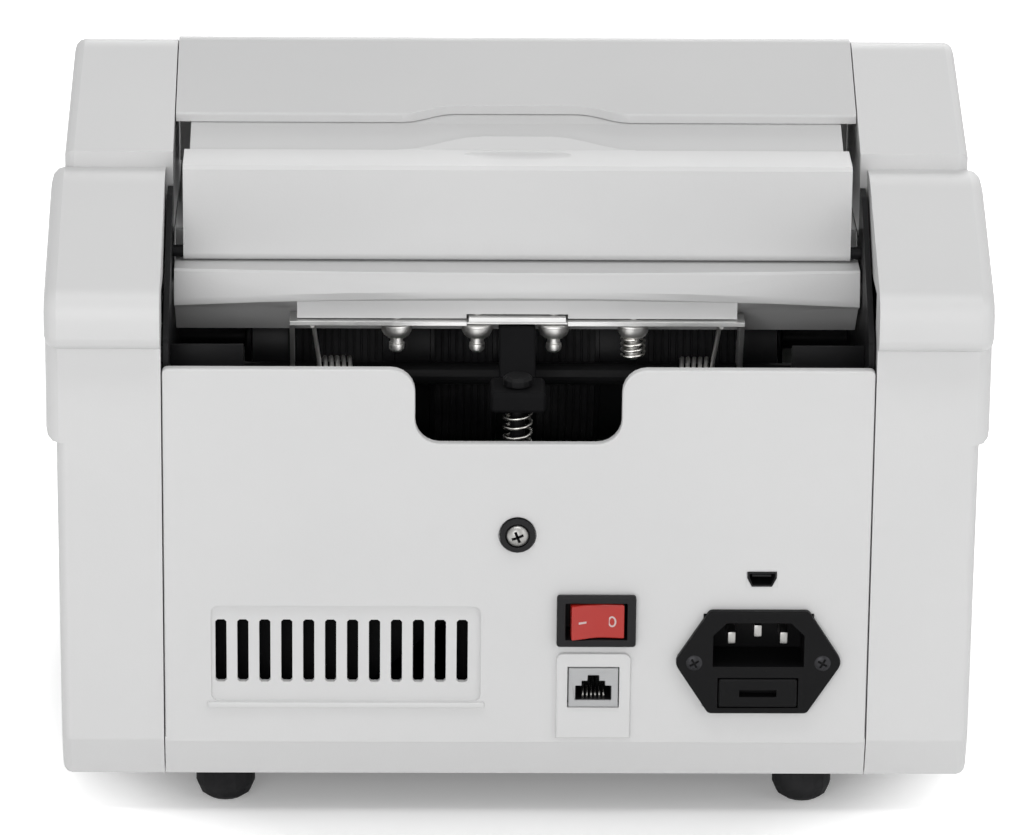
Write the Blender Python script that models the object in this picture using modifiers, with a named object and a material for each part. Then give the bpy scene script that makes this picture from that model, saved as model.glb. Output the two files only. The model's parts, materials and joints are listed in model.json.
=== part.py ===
"""Banknote counter: moulded side covers round a sheet-metal chassis, seen here from its rear.

Frame: metres, +Z up, origin on the floor under the middle of the body. The front faces -Y and
the rear panel faces +Y. Left and right are the operator's, so left is -X.
"""

import math

import bmesh
import bpy
from mathutils import Matrix, Vector

mm = 0.001

# Overall sizes
WIDTH = 250 * mm
DEPTH = 240 * mm
HEIGHT = 191 * mm
DATUM = 3 * mm
BAND_PROUD = 5 * mm
FOOT_HEIGHT = 12 * mm
FOOT_RADIUS = 8 * mm
FOOT_SPREAD = 78.5 * mm
FOOT_INSET = 18 * mm

# Walls and clearances
WALL = 2.5 * mm
SHEET = 1.5 * mm
GAP = 0.3 * mm
RUN = 0.6 * mm
SIDE_THICK = 30.5 * mm
CHASSIS_GAP = 0.5 * mm
HOPPER_STEP = 1.9 * mm

REAR = DEPTH / 2 - BAND_PROUD
FRONT = -DEPTH / 2
BOTTOM = FOOT_HEIGHT - DATUM
CREST_Z = HEIGHT - DATUM
SIDE_IN = WIDTH / 2 - SIDE_THICK
PLATE_OUT = SIDE_IN - CHASSIS_GAP
PLATE_IN = PLATE_OUT - SHEET
HOPPER_IN = SIDE_IN - HOPPER_STEP
INSIDE = PLATE_IN - GAP

# Side covers
SKIRT_STEP = 2.5 * mm
SKIRT_TOP = 104.6 * mm
BAND_BOTTOM = 131.5 * mm
BAND_TOP = 146 * mm
SHOULDER_Z = 169 * mm
SHOULDER_PEAK = 166.5 * mm
SHOULDER_U = 53 * mm
CREST_U = 100 * mm
UPPER_INSET = 3.2 * mm
UPPER_TAPER = 1.2 * mm
SCOOP_RADIUS = 45 * mm
SCOOP_OUT = 12 * mm
SCOOP_Z = 60 * mm
INNER_WALL_FROM = 146 * mm

# Rear panel
PANEL_TOP = 125.4 * mm
CREASE_Z = 20 * mm
CREASE_BACK = 3.5 * mm
NOTCH_WIDTH = 54.7 * mm
NOTCH_BOTTOM = 104.6 * mm
NOTCH_RADIUS = 6.6 * mm
PANEL_SCREW_Z = 79 * mm
RING_RADIUS = 4.75 * mm
VENT_X = (9.5 * mm, 81.7 * mm)
VENT_Z = (31.2 * mm, 58.5 * mm)
VENT_RECESS = 0.8 * mm
SLOT_COUNT = 12
SLOT_PITCH = 5.87 * mm
SLOT_SIZE = (3.0 * mm, 17.9 * mm)
SLOT_FIRST = 14.5 * mm
SLOT_BOTTOM = 36.5 * mm
SWITCH_AT = (-21.3 * mm, 54.9 * mm)
SWITCH_BEZEL = (21.2 * mm, 14.6 * mm)
SWITCH_BODY = (18.8 * mm, 12.4 * mm)
SWITCH_DEPTH = 14 * mm
ROCKER = (14.2 * mm, 9.7 * mm)
ROCKER_TILT = math.radians(7)
JACK_AT = (-20.7 * mm, 35.9 * mm)
JACK_SIZE = (13.3 * mm, 11.1 * mm)
JACK_OPENING = 9.7 * mm
BOSS_WIDTH = 20 * mm
BOSS_TOP = 45.5 * mm
BOSS_PROUD = 1.2 * mm
USB_AT = (-65.4 * mm, 66.6 * mm)
USB_SIZE = (7.8 * mm, 4.2 * mm)
INLET_AT = (-64.8 * mm, 43.4 * mm)
INLET_WIDTH = 45.2 * mm
INLET_HEIGHT = 29.3 * mm
INLET_FLAT = 26.5 * mm
INLET_BODY = (29 * mm, 26 * mm)
INLET_DEPTH = 22 * mm
INLET_RECESS = (24.4 * mm, 12.5 * mm, 15 * mm)
RECESS_RISE = 5.2 * mm
PIN_PITCH = 7 * mm
DRAWER_SIZE = (21 * mm, 8 * mm, 16 * mm)
DRAWER_DROP = 8.6 * mm

# Rear door, lip and pressure bracket
DOOR_HALF = 89.6 * mm
DOOR_U = 40 * mm
DOOR_PIVOT_Z = 144.5 * mm
DOOR_BARREL = 2.2 * mm
DOOR_LEDGE = 15.5 * mm
LIP_TOP = 142 * mm
LIP_U = (44 * mm, 32.7 * mm, 29.5 * mm)
LIP_FACE = (7.8 * mm, 4.5 * mm)
PIVOT_U = 45 * mm
PIVOT_Z = 109 * mm
PIVOT_RADIUS = 3 * mm
BRACKET_HALF = 61 * mm
BRACKET_Z = 129 * mm
BRACKET_SHEET = 1.2 * mm
BRACKET_U = (29 * mm, 37.2 * mm)
SCREW_WASHER = 4.4 * mm
BRACKET_SCREW_X = (-31.2 * mm, -9.9 * mm, 10.7 * mm, 32.3 * mm)
BRACKET_SCREW_U = 33 * mm
COIL_X = (44 * mm, 53.5 * mm)
COIL_TURNS = 5
COIL_WIRE = 1.2 * mm
COIL_RADIUS = 4.2 * mm
ADJUSTER_U = 14 * mm
ADJUSTER_HALF = 7.35 * mm
ADJUSTER_Z = (110.7 * mm, 116.3 * mm)
ADJUSTING_RADIUS = 2 * mm
SPRING_TURNS = 7
SPRING_WIRE = 0.9 * mm
SPRING_RADIUS = 3.7 * mm
CROSS_BAR_Z = 90 * mm

# Feed and stacking
DRUM_RADIUS = 30 * mm
DRUM_TOP = 136 * mm
DRUM_U = PIVOT_U + DRUM_RADIUS + 10 * mm
DRUM_Z = DRUM_TOP - DRUM_RADIUS
DRUM_HALF = 72 * mm
SHAFT_RADIUS = 3 * mm
PICKUP_U = 133 * mm
PICKUP_Z = 140 * mm
PICKUP_RADIUS = 12 * mm
TYRE_X = 28 * mm
TYRE_WIDTH = 14 * mm
STACKER_F = 75 * mm
STACKER_Z = 54 * mm
WHEEL_RADIUS = 34 * mm
WHEEL_X = 38 * mm
WHEEL_WIDTH = 9 * mm
FIN_COUNT = 12
PULLEY_WIDTH = 8 * mm
BELT_THICK = 1.4 * mm


def u(distance):
    """The Y of a place this far in front of the rear panel's face."""
    return REAR - distance


def f(distance):
    """The Y of a place this far behind the front."""
    return FRONT + distance


def clear_scene():
    for obj in list(bpy.data.objects):
        bpy.data.objects.remove(obj, do_unlink=True)


def collection(name, hidden=False):
    made = bpy.data.collections.new(name)
    bpy.context.scene.collection.children.link(made)
    made.hide_render = hidden
    return made


def material(name, colour, roughness, metallic=0.0):
    made = bpy.data.materials.new(name)
    made.use_nodes = True
    shader = made.node_tree.nodes["Principled BSDF"]
    shader.inputs["Base Color"].default_value = (*colour, 1.0)
    shader.inputs["Roughness"].default_value = roughness
    shader.inputs["Metallic"].default_value = metallic
    made.diffuse_color = (*colour, 1.0)
    return made


def add_object(name, data, finish=None, origin=None):
    """A new object of the part, or a tool shape where no finish is given."""
    if isinstance(data, bpy.types.Mesh):
        data.shade_smooth()
        data.set_sharp_from_angle(angle=math.radians(30))
    if origin is not None:
        data.transform(Matrix.Translation(-Vector(origin)))
    made = bpy.data.objects.new(name, data)
    made.location = origin or (0, 0, 0)
    if finish is None:
        CUTTERS.objects.link(made)
        made.hide_render = True
        made.display_type = "WIRE"
    else:
        COUNTER.objects.link(made)
        data.materials.append(finish)
    return made


def to_mesh(name, shape):
    """The bmesh as mesh data, with its faces turned outwards."""
    bmesh.ops.recalc_face_normals(shape, faces=shape.faces)
    data = bpy.data.meshes.new(name)
    shape.to_mesh(data)
    shape.free()
    return data


def arc(centre, radius, start, end, steps):
    """Points on an arc, in degrees, both ends included."""
    return [
        (
            centre[0] + radius * math.cos(math.radians(start + (end - start) * i / steps)),
            centre[1] + radius * math.sin(math.radians(start + (end - start) * i / steps)),
        )
        for i in range(steps + 1)
    ]


def rounded(corners, steps=4):
    """The outline through these (a, b, radius) corners, each corner an arc of its radius."""
    points = []
    count = len(corners)
    for index, corner in enumerate(corners):
        here = Vector(corner[:2])
        radius = corner[2] if len(corner) > 2 else 0.0
        if radius <= 0:
            points.append(tuple(here))
            continue
        back = (Vector(corners[index - 1][:2]) - here).normalized()
        ahead = (Vector(corners[(index + 1) % count][:2]) - here).normalized()
        half = back.angle(ahead) / 2
        reach = radius / math.tan(half)
        centre = here + (back + ahead).normalized() * (radius / math.sin(half))
        first = here + back * reach - centre
        last = here + ahead * reach - centre
        turn = first.angle_signed(last)
        for i in range(steps + 1):
            swung = Matrix.Rotation(-turn * i / steps, 2) @ first
            points.append(tuple(centre + swung))
    return points


def axis_matrix(axis):
    """Takes an outline's (a, b) and its depth to (x, y, z) for an extrusion along this axis."""
    rows = {
        "X": ((0, 0, 1), (1, 0, 0), (0, 1, 0)),
        "Y": ((1, 0, 0), (0, 0, 1), (0, 1, 0)),
        "Z": ((1, 0, 0), (0, 1, 0), (0, 0, 1)),
    }
    return Matrix(rows[axis])


def slab(outline, axis, low, high, bevel=0.0, ends="high", segments=3):
    """A bmesh of a closed outline extruded along X (outline in Y, Z), Y (in X, Z) or Z (in X, Y).

    bevel rounds the rim of the chosen end, or of both.
    """
    shape = bmesh.new()
    turn = axis_matrix(axis)
    corners = [shape.verts.new(turn @ Vector((a, b, low))) for a, b in outline]
    base = shape.faces.new(corners)
    grown = bmesh.ops.extrude_face_region(shape, geom=[base])["geom"]
    moved = [item for item in grown if isinstance(item, bmesh.types.BMVert)]
    bmesh.ops.translate(shape, verts=moved, vec=turn @ Vector((0, 0, high - low)))
    bmesh.ops.recalc_face_normals(shape, faces=shape.faces)
    if bevel > 0:
        rim = []
        for level in {"low": [low], "high": [high], "both": [low, high]}[ends]:
            place = "XYZ".index(axis)
            rim += [
                edge
                for edge in shape.edges
                if all(abs(vert.co[place] - level) < 1e-7 for vert in edge.verts)
            ]
        bmesh.ops.bevel(
            shape,
            geom=rim,
            offset=bevel,
            offset_type="OFFSET",
            segments=segments,
            profile=0.5,
            affect="EDGES",
            clamp_overlap=False,
            material=-1,
        )
    return shape


def box(low, high, bevel=0.0, segments=2):
    """A bmesh box between two corners, with every edge rounded if a bevel is given."""
    shape = bmesh.new()
    bmesh.ops.create_cube(shape, size=1.0)
    size = Vector(high) - Vector(low)
    middle = (Vector(high) + Vector(low)) / 2
    bmesh.ops.scale(shape, vec=size, verts=shape.verts)
    bmesh.ops.translate(shape, vec=middle, verts=shape.verts)
    if bevel > 0:
        bmesh.ops.bevel(
            shape,
            geom=list(shape.edges),
            offset=bevel,
            offset_type="OFFSET",
            segments=segments,
            profile=0.5,
            affect="EDGES",
            clamp_overlap=True,
            material=-1,
        )
    return shape


def rod(axis, centre, radius, low, high, sides=20):
    """A bmesh cylinder along an axis; centre holds its two other coordinates, in axis order."""
    shape = bmesh.new()
    bmesh.ops.create_cone(
        shape,
        cap_ends=True,
        segments=sides,
        radius1=radius,
        radius2=radius,
        depth=high - low,
    )
    bmesh.ops.translate(shape, vec=(0, 0, (high + low) / 2), verts=shape.verts)
    turns = {
        "X": Matrix.Rotation(math.radians(90), 3, "Y"),
        "Y": Matrix.Rotation(math.radians(-90), 3, "X"),
        "Z": Matrix.Identity(3),
    }
    bmesh.ops.rotate(shape, matrix=turns[axis], verts=shape.verts, cent=(0, 0, 0))
    place = {"X": (0, *centre), "Y": (centre[0], 0, centre[1]), "Z": (*centre, 0)}[axis]
    bmesh.ops.translate(shape, vec=place, verts=shape.verts)
    return shape


def combine(target, shapes, operation):
    """Joins, cuts or intersects the target with each shape, by a Boolean modifier of its own."""
    for shape in shapes:
        label = f"{target.name}_{operation.lower()}_{len(target.modifiers) + 1}"
        tool = add_object(label, to_mesh(label, shape))
        step = target.modifiers.new(label, "BOOLEAN")
        step.operation = operation
        step.object = tool
        step.solver = "EXACT"


def cut(target, *shapes):
    combine(target, shapes, "DIFFERENCE")


def join(target, *shapes):
    combine(target, shapes, "UNION")


def many(shapes):
    """One bmesh that holds several closed shapes which don't touch, for use as one tool."""
    whole = bmesh.new()
    for shape in shapes:
        data = to_mesh("one_of_many", shape)
        whole.from_mesh(data)
        bpy.data.meshes.remove(data)
    return whole


def turned(name, profile, finish, origin, axis="Z", steps=32):
    """A revolved solid: (radius, height) pairs run down its outer side from top to bottom."""
    data = bpy.data.meshes.new(name)
    points = [(radius, 0, height) for radius, height in profile]
    data.from_pydata(points, [(i, i + 1) for i in range(len(points) - 1)], [])
    made = bpy.data.objects.new(name, data)
    COUNTER.objects.link(made)
    data.materials.append(finish)
    made.location = origin
    if axis == "X":
        made.rotation_euler = (0, math.radians(90), 0)
    if axis == "Y":
        made.rotation_euler = (math.radians(-90), 0, 0)
    screw = made.modifiers.new("turn", "SCREW")
    screw.steps = steps
    screw.render_steps = steps
    screw.use_merge_vertices = True
    screw.merge_threshold = 0.00005
    screw.use_smooth_shade = True
    return made


def transformed(shape, matrix):
    bmesh.ops.transform(shape, matrix=matrix, verts=shape.verts)
    return shape


def to_side(shape, side):
    """The shape as it is for the right side, or mirrored in X for the left."""
    if side < 0:
        bmesh.ops.scale(shape, vec=(-1, 1, 1), verts=shape.verts)
    return shape


def lean(shape, beyond, level, share):
    """Draws the points past X = beyond inwards by a share of their height from a level."""
    for vert in shape.verts:
        if vert.co.x > beyond:
            vert.co.x -= share * abs(vert.co.z - level)
    return shape


SHAFT_HOLE = SHAFT_RADIUS + 0.4 * mm
SCOOP_REACH = math.degrees(math.acos(SCOOP_OUT / SCOOP_RADIUS))
SLOPE = [
    (u(SHOULDER_U - 6 * mm), SHOULDER_PEAK, 22 * mm),
    (f(6 * mm), 112 * mm, 6 * mm),
]
PANEL_LOW = Vector((0, f(6 * mm), 112 * mm))
PANEL_HIGH = Vector((0, f(100 * mm), SHOULDER_Z - 1 * mm))
PANEL_ANGLE = math.atan2(PANEL_HIGH.z - PANEL_LOW.z, PANEL_HIGH.y - PANEL_LOW.y)
HOPPER_FRONT = 76 * mm


def scoop(extra):
    """The hollow in the front edge, drawn back by extra, from its upper end to its lower."""
    centre = (f(-SCOOP_OUT), SCOOP_Z)
    radius = SCOOP_RADIUS + extra
    reach = math.degrees(math.acos((SCOOP_OUT + extra) / radius))
    return arc(centre, radius, reach, -reach, 8)


def skirt_outline():
    return rounded(
        [
            (u(CREASE_BACK), BOTTOM),
            (u(0), CREASE_Z, 3 * mm),
            (u(0), BAND_BOTTOM - 6 * mm),
            (u(SHOULDER_U), BAND_BOTTOM + 12 * mm),
            (f(12 * mm), SKIRT_TOP + 3 * mm),
            *scoop(0),
            (f(3 * mm), BOTTOM),
        ]
    )


def shoulder_outline():
    return rounded(
        [
            (u(0), SKIRT_TOP),
            (u(0), BAND_BOTTOM),
            (u(-BAND_PROUD), BAND_BOTTOM, 4 * mm),
            (u(-BAND_PROUD), BAND_TOP, 9 * mm),
            *SLOPE,
            (f(0), SKIRT_TOP),
        ]
    )


def upper_outline(inset, bottom):
    """The cheek: up the rear slope to the crest, then down the panel's slope to the front."""
    front = PANEL_LOW.y + inset
    rise = math.tan(PANEL_ANGLE)
    drop = inset / math.cos(PANEL_ANGLE)
    corners = [
        (u(SHOULDER_U + inset), bottom),
        (u(SHOULDER_U + inset), SHOULDER_Z - inset),
        (u(CREST_U), CREST_Z - inset, 12 * mm),
        (PANEL_HIGH.y, PANEL_HIGH.z - drop, 60 * mm),
    ]
    low = PANEL_LOW.z - drop + rise * inset
    if bottom > low:
        return rounded([*corners, (front + (bottom - low) / rise, bottom)])
    if inset > 0:
        end = 10 * mm
        return rounded([*corners, (front + end, low + end * rise), (front + end, bottom)])
    return rounded([*corners, (front + 1.5 * mm, low + 0.5 * mm, 3 * mm), (front + 5 * mm, bottom)])


def cavity_outline():
    drop = 1.6 * WALL
    back = [(y, z - drop, r) for y, z, r in SLOPE]
    return rounded(
        [
            (u(CREASE_BACK + WALL), BOTTOM + WALL),
            (u(WALL), CREASE_Z),
            (u(WALL), BAND_TOP - WALL),
            *back[:-1],
            (f(14 * mm), SKIRT_TOP + 3 * mm),
            *scoop(WALL)[1:-1],
            (f(WALL + 4 * mm), BOTTOM + WALL),
        ]
    )


def side_cover(name, side, finish):
    """A moulded shell: skirt, proud shoulder with its rear band, and the upper hopper cheek."""
    outer = WIDTH / 2
    skirt = slab(skirt_outline(), "X", SIDE_IN, outer - SKIRT_STEP, bevel=2.5 * mm)
    lean(skirt, SIDE_IN + 5 * mm, SKIRT_TOP, 0.006)
    shoulder = slab(shoulder_outline(), "X", SIDE_IN, outer, bevel=3.4 * mm, segments=3)
    upper_outer = outer - UPPER_INSET
    upper = slab(upper_outline(0, SKIRT_TOP + 2 * mm), "X", SIDE_IN + 0.4 * mm, upper_outer, bevel=2.5 * mm)
    share = UPPER_TAPER / (CREST_Z - SHOULDER_Z)
    for vert in upper.verts:
        if vert.co.x > SIDE_IN + 5 * mm and vert.co.z > SHOULDER_Z:
            vert.co.x -= share * (vert.co.z - SHOULDER_Z)
    liner = slab(upper_outline(0, INNER_WALL_FROM), "X", HOPPER_IN, SIDE_IN + 1 * mm)
    cavity_out = outer - SKIRT_STEP - WALL - 1.6 * mm
    cavity = slab(cavity_outline(), "X", SIDE_IN + WALL, cavity_out)
    cheek = slab(
        upper_outline(WALL, SKIRT_TOP + 2 * WALL),
        "X",
        SIDE_IN + WALL,
        upper_outer - UPPER_TAPER - WALL,
    )
    window = box(
        (SIDE_IN - 1 * mm, f(SCOOP_RADIUS - SCOOP_OUT + 2 * WALL), BOTTOM + 2 * WALL),
        (SIDE_IN + WALL + 1 * mm, u(CREASE_BACK + 2 * WALL), INNER_WALL_FROM - 2 * mm),
    )
    rail_seat = rod("X", RAIL_AT, RAIL_RADIUS + GAP, HOPPER_IN - 1 * mm, SIDE_IN + 0.6 * mm)
    made = add_object(name, to_mesh(name, to_side(skirt, side)), finish)
    join(made, to_side(shoulder, side), to_side(upper, side), to_side(liner, side))
    cut(made, to_side(cavity, side), to_side(cheek, side), to_side(window, side))
    cut(made, to_side(rail_seat, side))
    return made


RAIL_RADIUS = 2.5 * mm
RAIL_AT = (u(CREST_U + 11 * mm), CREST_Z - 13 * mm)
PLATE_TOP = INNER_WALL_FROM - 0.5 * mm
DRUM_AT = (u(DRUM_U), DRUM_Z)
PICKUP_AT = (u(PICKUP_U), PICKUP_Z)
STACKER_AT = (f(STACKER_F), STACKER_Z)
PIVOT_AT = (u(PIVOT_U), PIVOT_Z)
DOOR_PIVOT_AT = (u(DOOR_U + DOOR_BARREL), DOOR_PIVOT_Z)
DOOR_PIN = 1.6 * mm
FEED_MOTOR_AT = (u(52 * mm), 50 * mm)
MOTOR_RADIUS = 15 * mm
MOTOR_SHAFT = 2 * mm
STACKER_MOTOR_AT = (f(STACKER_F + 46 * mm), DRUM_TOP - 2 * DRUM_RADIUS - MOTOR_RADIUS - 3 * mm)


def chassis_plate(name, side, finish):
    """A pressed side plate with the bearing holes; it follows the scoop of the side cover."""
    lightening = 9 * mm
    outline = rounded(
        [
            (u(CREASE_BACK + 2 * WALL), BOTTOM + 5 * mm),
            (u(WALL + 1 * mm), CREASE_Z + 4 * mm),
            (u(WALL + 1 * mm), BAND_BOTTOM, 4 * mm),
            (u(SHOULDER_U - 10 * mm), SHOULDER_Z - 9 * mm, 3 * mm),
            (u(SHOULDER_U - 2 * mm), SHOULDER_Z - 9 * mm),
            (u(SHOULDER_U - 2 * mm), PLATE_TOP),
            (f(HOPPER_FRONT - 4 * mm), PLATE_TOP, 8 * mm),
            (f(20 * mm), SKIRT_TOP + 4 * mm),
            *scoop(4 * mm),
            (f(8 * mm), BOTTOM + 5 * mm),
        ]
    )
    low, high = PLATE_IN, PLATE_OUT
    plate = slab(outline, "X", low, high)
    holes = [
        rod("X", at, radius, low - 1 * mm, high + 1 * mm, sides=16)
        for at, radius in (
            (DRUM_AT, SHAFT_HOLE),
            (PICKUP_AT, SHAFT_HOLE),
            (STACKER_AT, SHAFT_HOLE),
            (PIVOT_AT, PIVOT_RADIUS + GAP),
            (DOOR_PIVOT_AT, DOOR_PIN + GAP),
            (FEED_MOTOR_AT if side < 0 else STACKER_MOTOR_AT, MOTOR_SHAFT + 2 * GAP),
            ((u(20 * mm), 60 * mm), lightening),
            ((u(110 * mm), 45 * mm), lightening),
        )
    ]
    made = add_object(name, to_mesh(name, to_side(plate, side)), finish)
    cut(made, to_side(many(holes), side))
    return made


def base_pan(finish):
    """A folded steel tray: floor, two side flanges and the pillars under the main board."""
    floor_z = BOTTOM + 0.5 * mm
    outline = [
        (-INSIDE, floor_z),
        (INSIDE, floor_z),
        (INSIDE, floor_z + 9 * mm),
        (INSIDE - SHEET, floor_z + 9 * mm),
        (INSIDE - SHEET, floor_z + SHEET),
        (SHEET - INSIDE, floor_z + SHEET),
        (SHEET - INSIDE, floor_z + 9 * mm),
        (-INSIDE, floor_z + 9 * mm),
    ]
    made = add_object("base_pan", to_mesh("base_pan", slab(outline, "Y", f(8 * mm), u(9 * mm))), finish)
    pillars = [
        rod("Z", at, 2.5 * mm, floor_z + SHEET / 2, BOARD_Z - GAP, sides=12) for at in board_corners(5 * mm)
    ]
    join(made, many(pillars))
    slots = [
        box((x, u(80 * mm), floor_z - 1 * mm), (x + 3 * mm, u(50 * mm), floor_z + 3 * mm))
        for x in [(-35 + 10 * i) * mm for i in range(8)]
    ]
    cut(made, many(slots))
    return made


BOARD_Z = BOTTOM + 6 * mm
BOARD_X = (-84 * mm, 60 * mm)
BOARD_Y = (u(128 * mm), u(34 * mm))


def board_corners(inset):
    return [
        (x, y)
        for x in (BOARD_X[0] + inset, BOARD_X[1] - inset)
        for y in (BOARD_Y[0] + inset, BOARD_Y[1] - inset)
    ]


def main_board(finish):
    """The printed board with its transformer, capacitors and heat sink as one solid."""
    top = BOARD_Z + 1.6 * mm
    board = box((BOARD_X[0], BOARD_Y[0], BOARD_Z), (BOARD_X[1], BOARD_Y[1], top))
    made = add_object("main_board", to_mesh("main_board", board), finish)
    middle = (BOARD_Y[0] + BOARD_Y[1]) / 2
    join(
        made,
        box((22 * mm, middle, top - 1 * mm), (50 * mm, middle + 24 * mm, top + 18 * mm), 1 * mm),
        rod("Z", (8 * mm, middle + 20 * mm), 5 * mm, top - 1 * mm, top + 12 * mm, sides=16),
        rod("Z", (-6 * mm, middle + 20 * mm), 5 * mm, top - 1 * mm, top + 12 * mm, sides=16),
        box((-70 * mm, middle - 30 * mm, top - 1 * mm), (-50 * mm, middle - 10 * mm, top + 2 * mm)),
        box((-30 * mm, middle - 30 * mm, top - 1 * mm), (-10 * mm, middle - 18 * mm, top + 6 * mm)),
    )
    return made


def foot(name, x, y, finish):
    """A domed rubber foot, cut flat where it stands."""
    profile = [
        (0, FOOT_HEIGHT + 0.2 * mm),
        (FOOT_RADIUS, FOOT_HEIGHT + 0.2 * mm),
        (FOOT_RADIUS, 4.2 * mm),
        (FOOT_RADIUS - 1.2 * mm, 1.4 * mm),
        (FOOT_RADIUS - 3.2 * mm, 0),
        (0, 0),
    ]
    return turned(name, profile, finish, (x, y, -DATUM), steps=16)


def rear_panel(finish):
    """The moulded rear panel with its notch, louvre field, raised boss and openings."""
    half = SIDE_IN - GAP
    notch = NOTCH_WIDTH / 2
    face = rounded(
        [
            (-half, CREASE_Z - 1 * mm),
            (half, CREASE_Z - 1 * mm),
            (half, PANEL_TOP, 1.5 * mm),
            (notch, PANEL_TOP, NOTCH_RADIUS),
            (notch, NOTCH_BOTTOM, NOTCH_RADIUS),
            (-notch, NOTCH_BOTTOM, NOTCH_RADIUS),
            (-notch, PANEL_TOP, NOTCH_RADIUS),
            (-half, PANEL_TOP, 1.5 * mm),
        ],
        steps=6,
    )
    plate = slab(face, "Y", u(WALL), u(0), bevel=0.6 * mm, segments=2)
    made = add_object("rear_panel", to_mesh("rear_panel", plate), finish)
    chin = [
        (u(WALL), CREASE_Z + 2 * mm),
        (u(0), CREASE_Z + 0.5 * mm),
        (u(0), CREASE_Z),
        (u(CREASE_BACK), BOTTOM),
        (u(CREASE_BACK + WALL), BOTTOM),
    ]
    boss = rounded(
        [
            (JACK_AT[0] - BOSS_WIDTH / 2, CREASE_Z + 1 * mm),
            (JACK_AT[0] + BOSS_WIDTH / 2, CREASE_Z + 1 * mm),
            (JACK_AT[0] + BOSS_WIDTH / 2, BOSS_TOP, 2 * mm),
            (JACK_AT[0] - BOSS_WIDTH / 2, BOSS_TOP, 2 * mm),
        ]
    )
    sill = box(
        (VENT_X[0] - 1 * mm, u(0.5 * mm), VENT_Z[0] - 1.6 * mm),
        (VENT_X[1] + 1 * mm, u(-1 * mm), VENT_Z[0]),
        0.4 * mm,
    )
    join(
        made,
        slab(chin, "X", -half, half),
        slab(boss, "Y", u(1 * mm), u(-BOSS_PROUD), bevel=0.5 * mm, segments=2),
        sill,
    )
    slots = [
        slab(
            rounded(
                [
                    (SLOT_FIRST + i * SLOT_PITCH - SLOT_SIZE[0] / 2, SLOT_BOTTOM, 0.6 * mm),
                    (SLOT_FIRST + i * SLOT_PITCH + SLOT_SIZE[0] / 2, SLOT_BOTTOM, 0.6 * mm),
                    (SLOT_FIRST + i * SLOT_PITCH + SLOT_SIZE[0] / 2, SLOT_BOTTOM + SLOT_SIZE[1], 0.6 * mm),
                    (SLOT_FIRST + i * SLOT_PITCH - SLOT_SIZE[0] / 2, SLOT_BOTTOM + SLOT_SIZE[1], 0.6 * mm),
                ],
                steps=1,
            ),
            "Y",
            u(WALL + 1 * mm),
            u(-1 * mm),
        )
        for i in range(SLOT_COUNT)
    ]
    recess = slab(
        rounded([(x, z, 2 * mm) for x, z in corners_of(VENT_X, VENT_Z)]),
        "Y",
        u(VENT_RECESS),
        u(-0.5 * mm),
    )
    through = [
        slab(centred(SWITCH_AT, SWITCH_BODY, GAP), "Y", u(WALL + 1 * mm), u(-2 * mm)),
        slab(centred(JACK_AT, JACK_SIZE, GAP), "Y", u(WALL + 1 * mm), u(-2 * mm)),
        slab(centred(USB_AT, USB_SIZE, GAP), "Y", u(WALL + 1 * mm), u(-2 * mm)),
        slab(centred(INLET_AT, INLET_BODY, GAP), "Y", u(WALL + 1 * mm), u(-2 * mm)),
        rod("Y", (0, PANEL_SCREW_Z), 1.8 * mm, u(WALL + 1 * mm), u(-2 * mm), sides=16),
    ]
    ring_seat = rod("Y", (0, PANEL_SCREW_Z), RING_RADIUS + GAP, u(1.1 * mm), u(-1 * mm), sides=32)
    cut(made, recess, many(slots), many(through), ring_seat)
    return made


def corners_of(xs, zs):
    return [(xs[0], zs[0]), (xs[1], zs[0]), (xs[1], zs[1]), (xs[0], zs[1])]


def centred(at, size, more=0.0, radius=0.0):
    """A rectangle of this size about a point, larger by more on every side."""
    half_x, half_z = size[0] / 2 + more, size[1] / 2 + more
    corners = corners_of((at[0] - half_x, at[0] + half_x), (at[1] - half_z, at[1] + half_z))
    return rounded([(x, z, radius) for x, z in corners], steps=3)


def panel_fasteners(steel, black):
    """The cross-head panel screw and the black ring that it sits in."""
    ring = add_object(
        "screw_ring",
        to_mesh("screw_ring", rod("Y", (0, PANEL_SCREW_Z), RING_RADIUS, u(0.8 * mm), u(-1 * mm))),
        black,
    )
    cut(ring, rod("Y", (0, PANEL_SCREW_Z), 3.3 * mm, u(-0.2 * mm), u(-2 * mm)))
    cut(ring, rod("Y", (0, PANEL_SCREW_Z), 1.8 * mm, u(2 * mm), u(-2 * mm), sides=16))
    head = [
        (0, 1.9 * mm),
        (1.6 * mm, 1.7 * mm),
        (2.6 * mm, 1.1 * mm),
        (3.0 * mm, 0.5 * mm),
        (3.0 * mm, 0.1 * mm),
        (1.5 * mm, 0.1 * mm),
        (1.5 * mm, -12 * mm),
        (0, -12 * mm),
    ]
    turned("panel_screw", head, steel, (0, u(-0.4 * mm), PANEL_SCREW_Z), axis="Y", steps=16)


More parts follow.
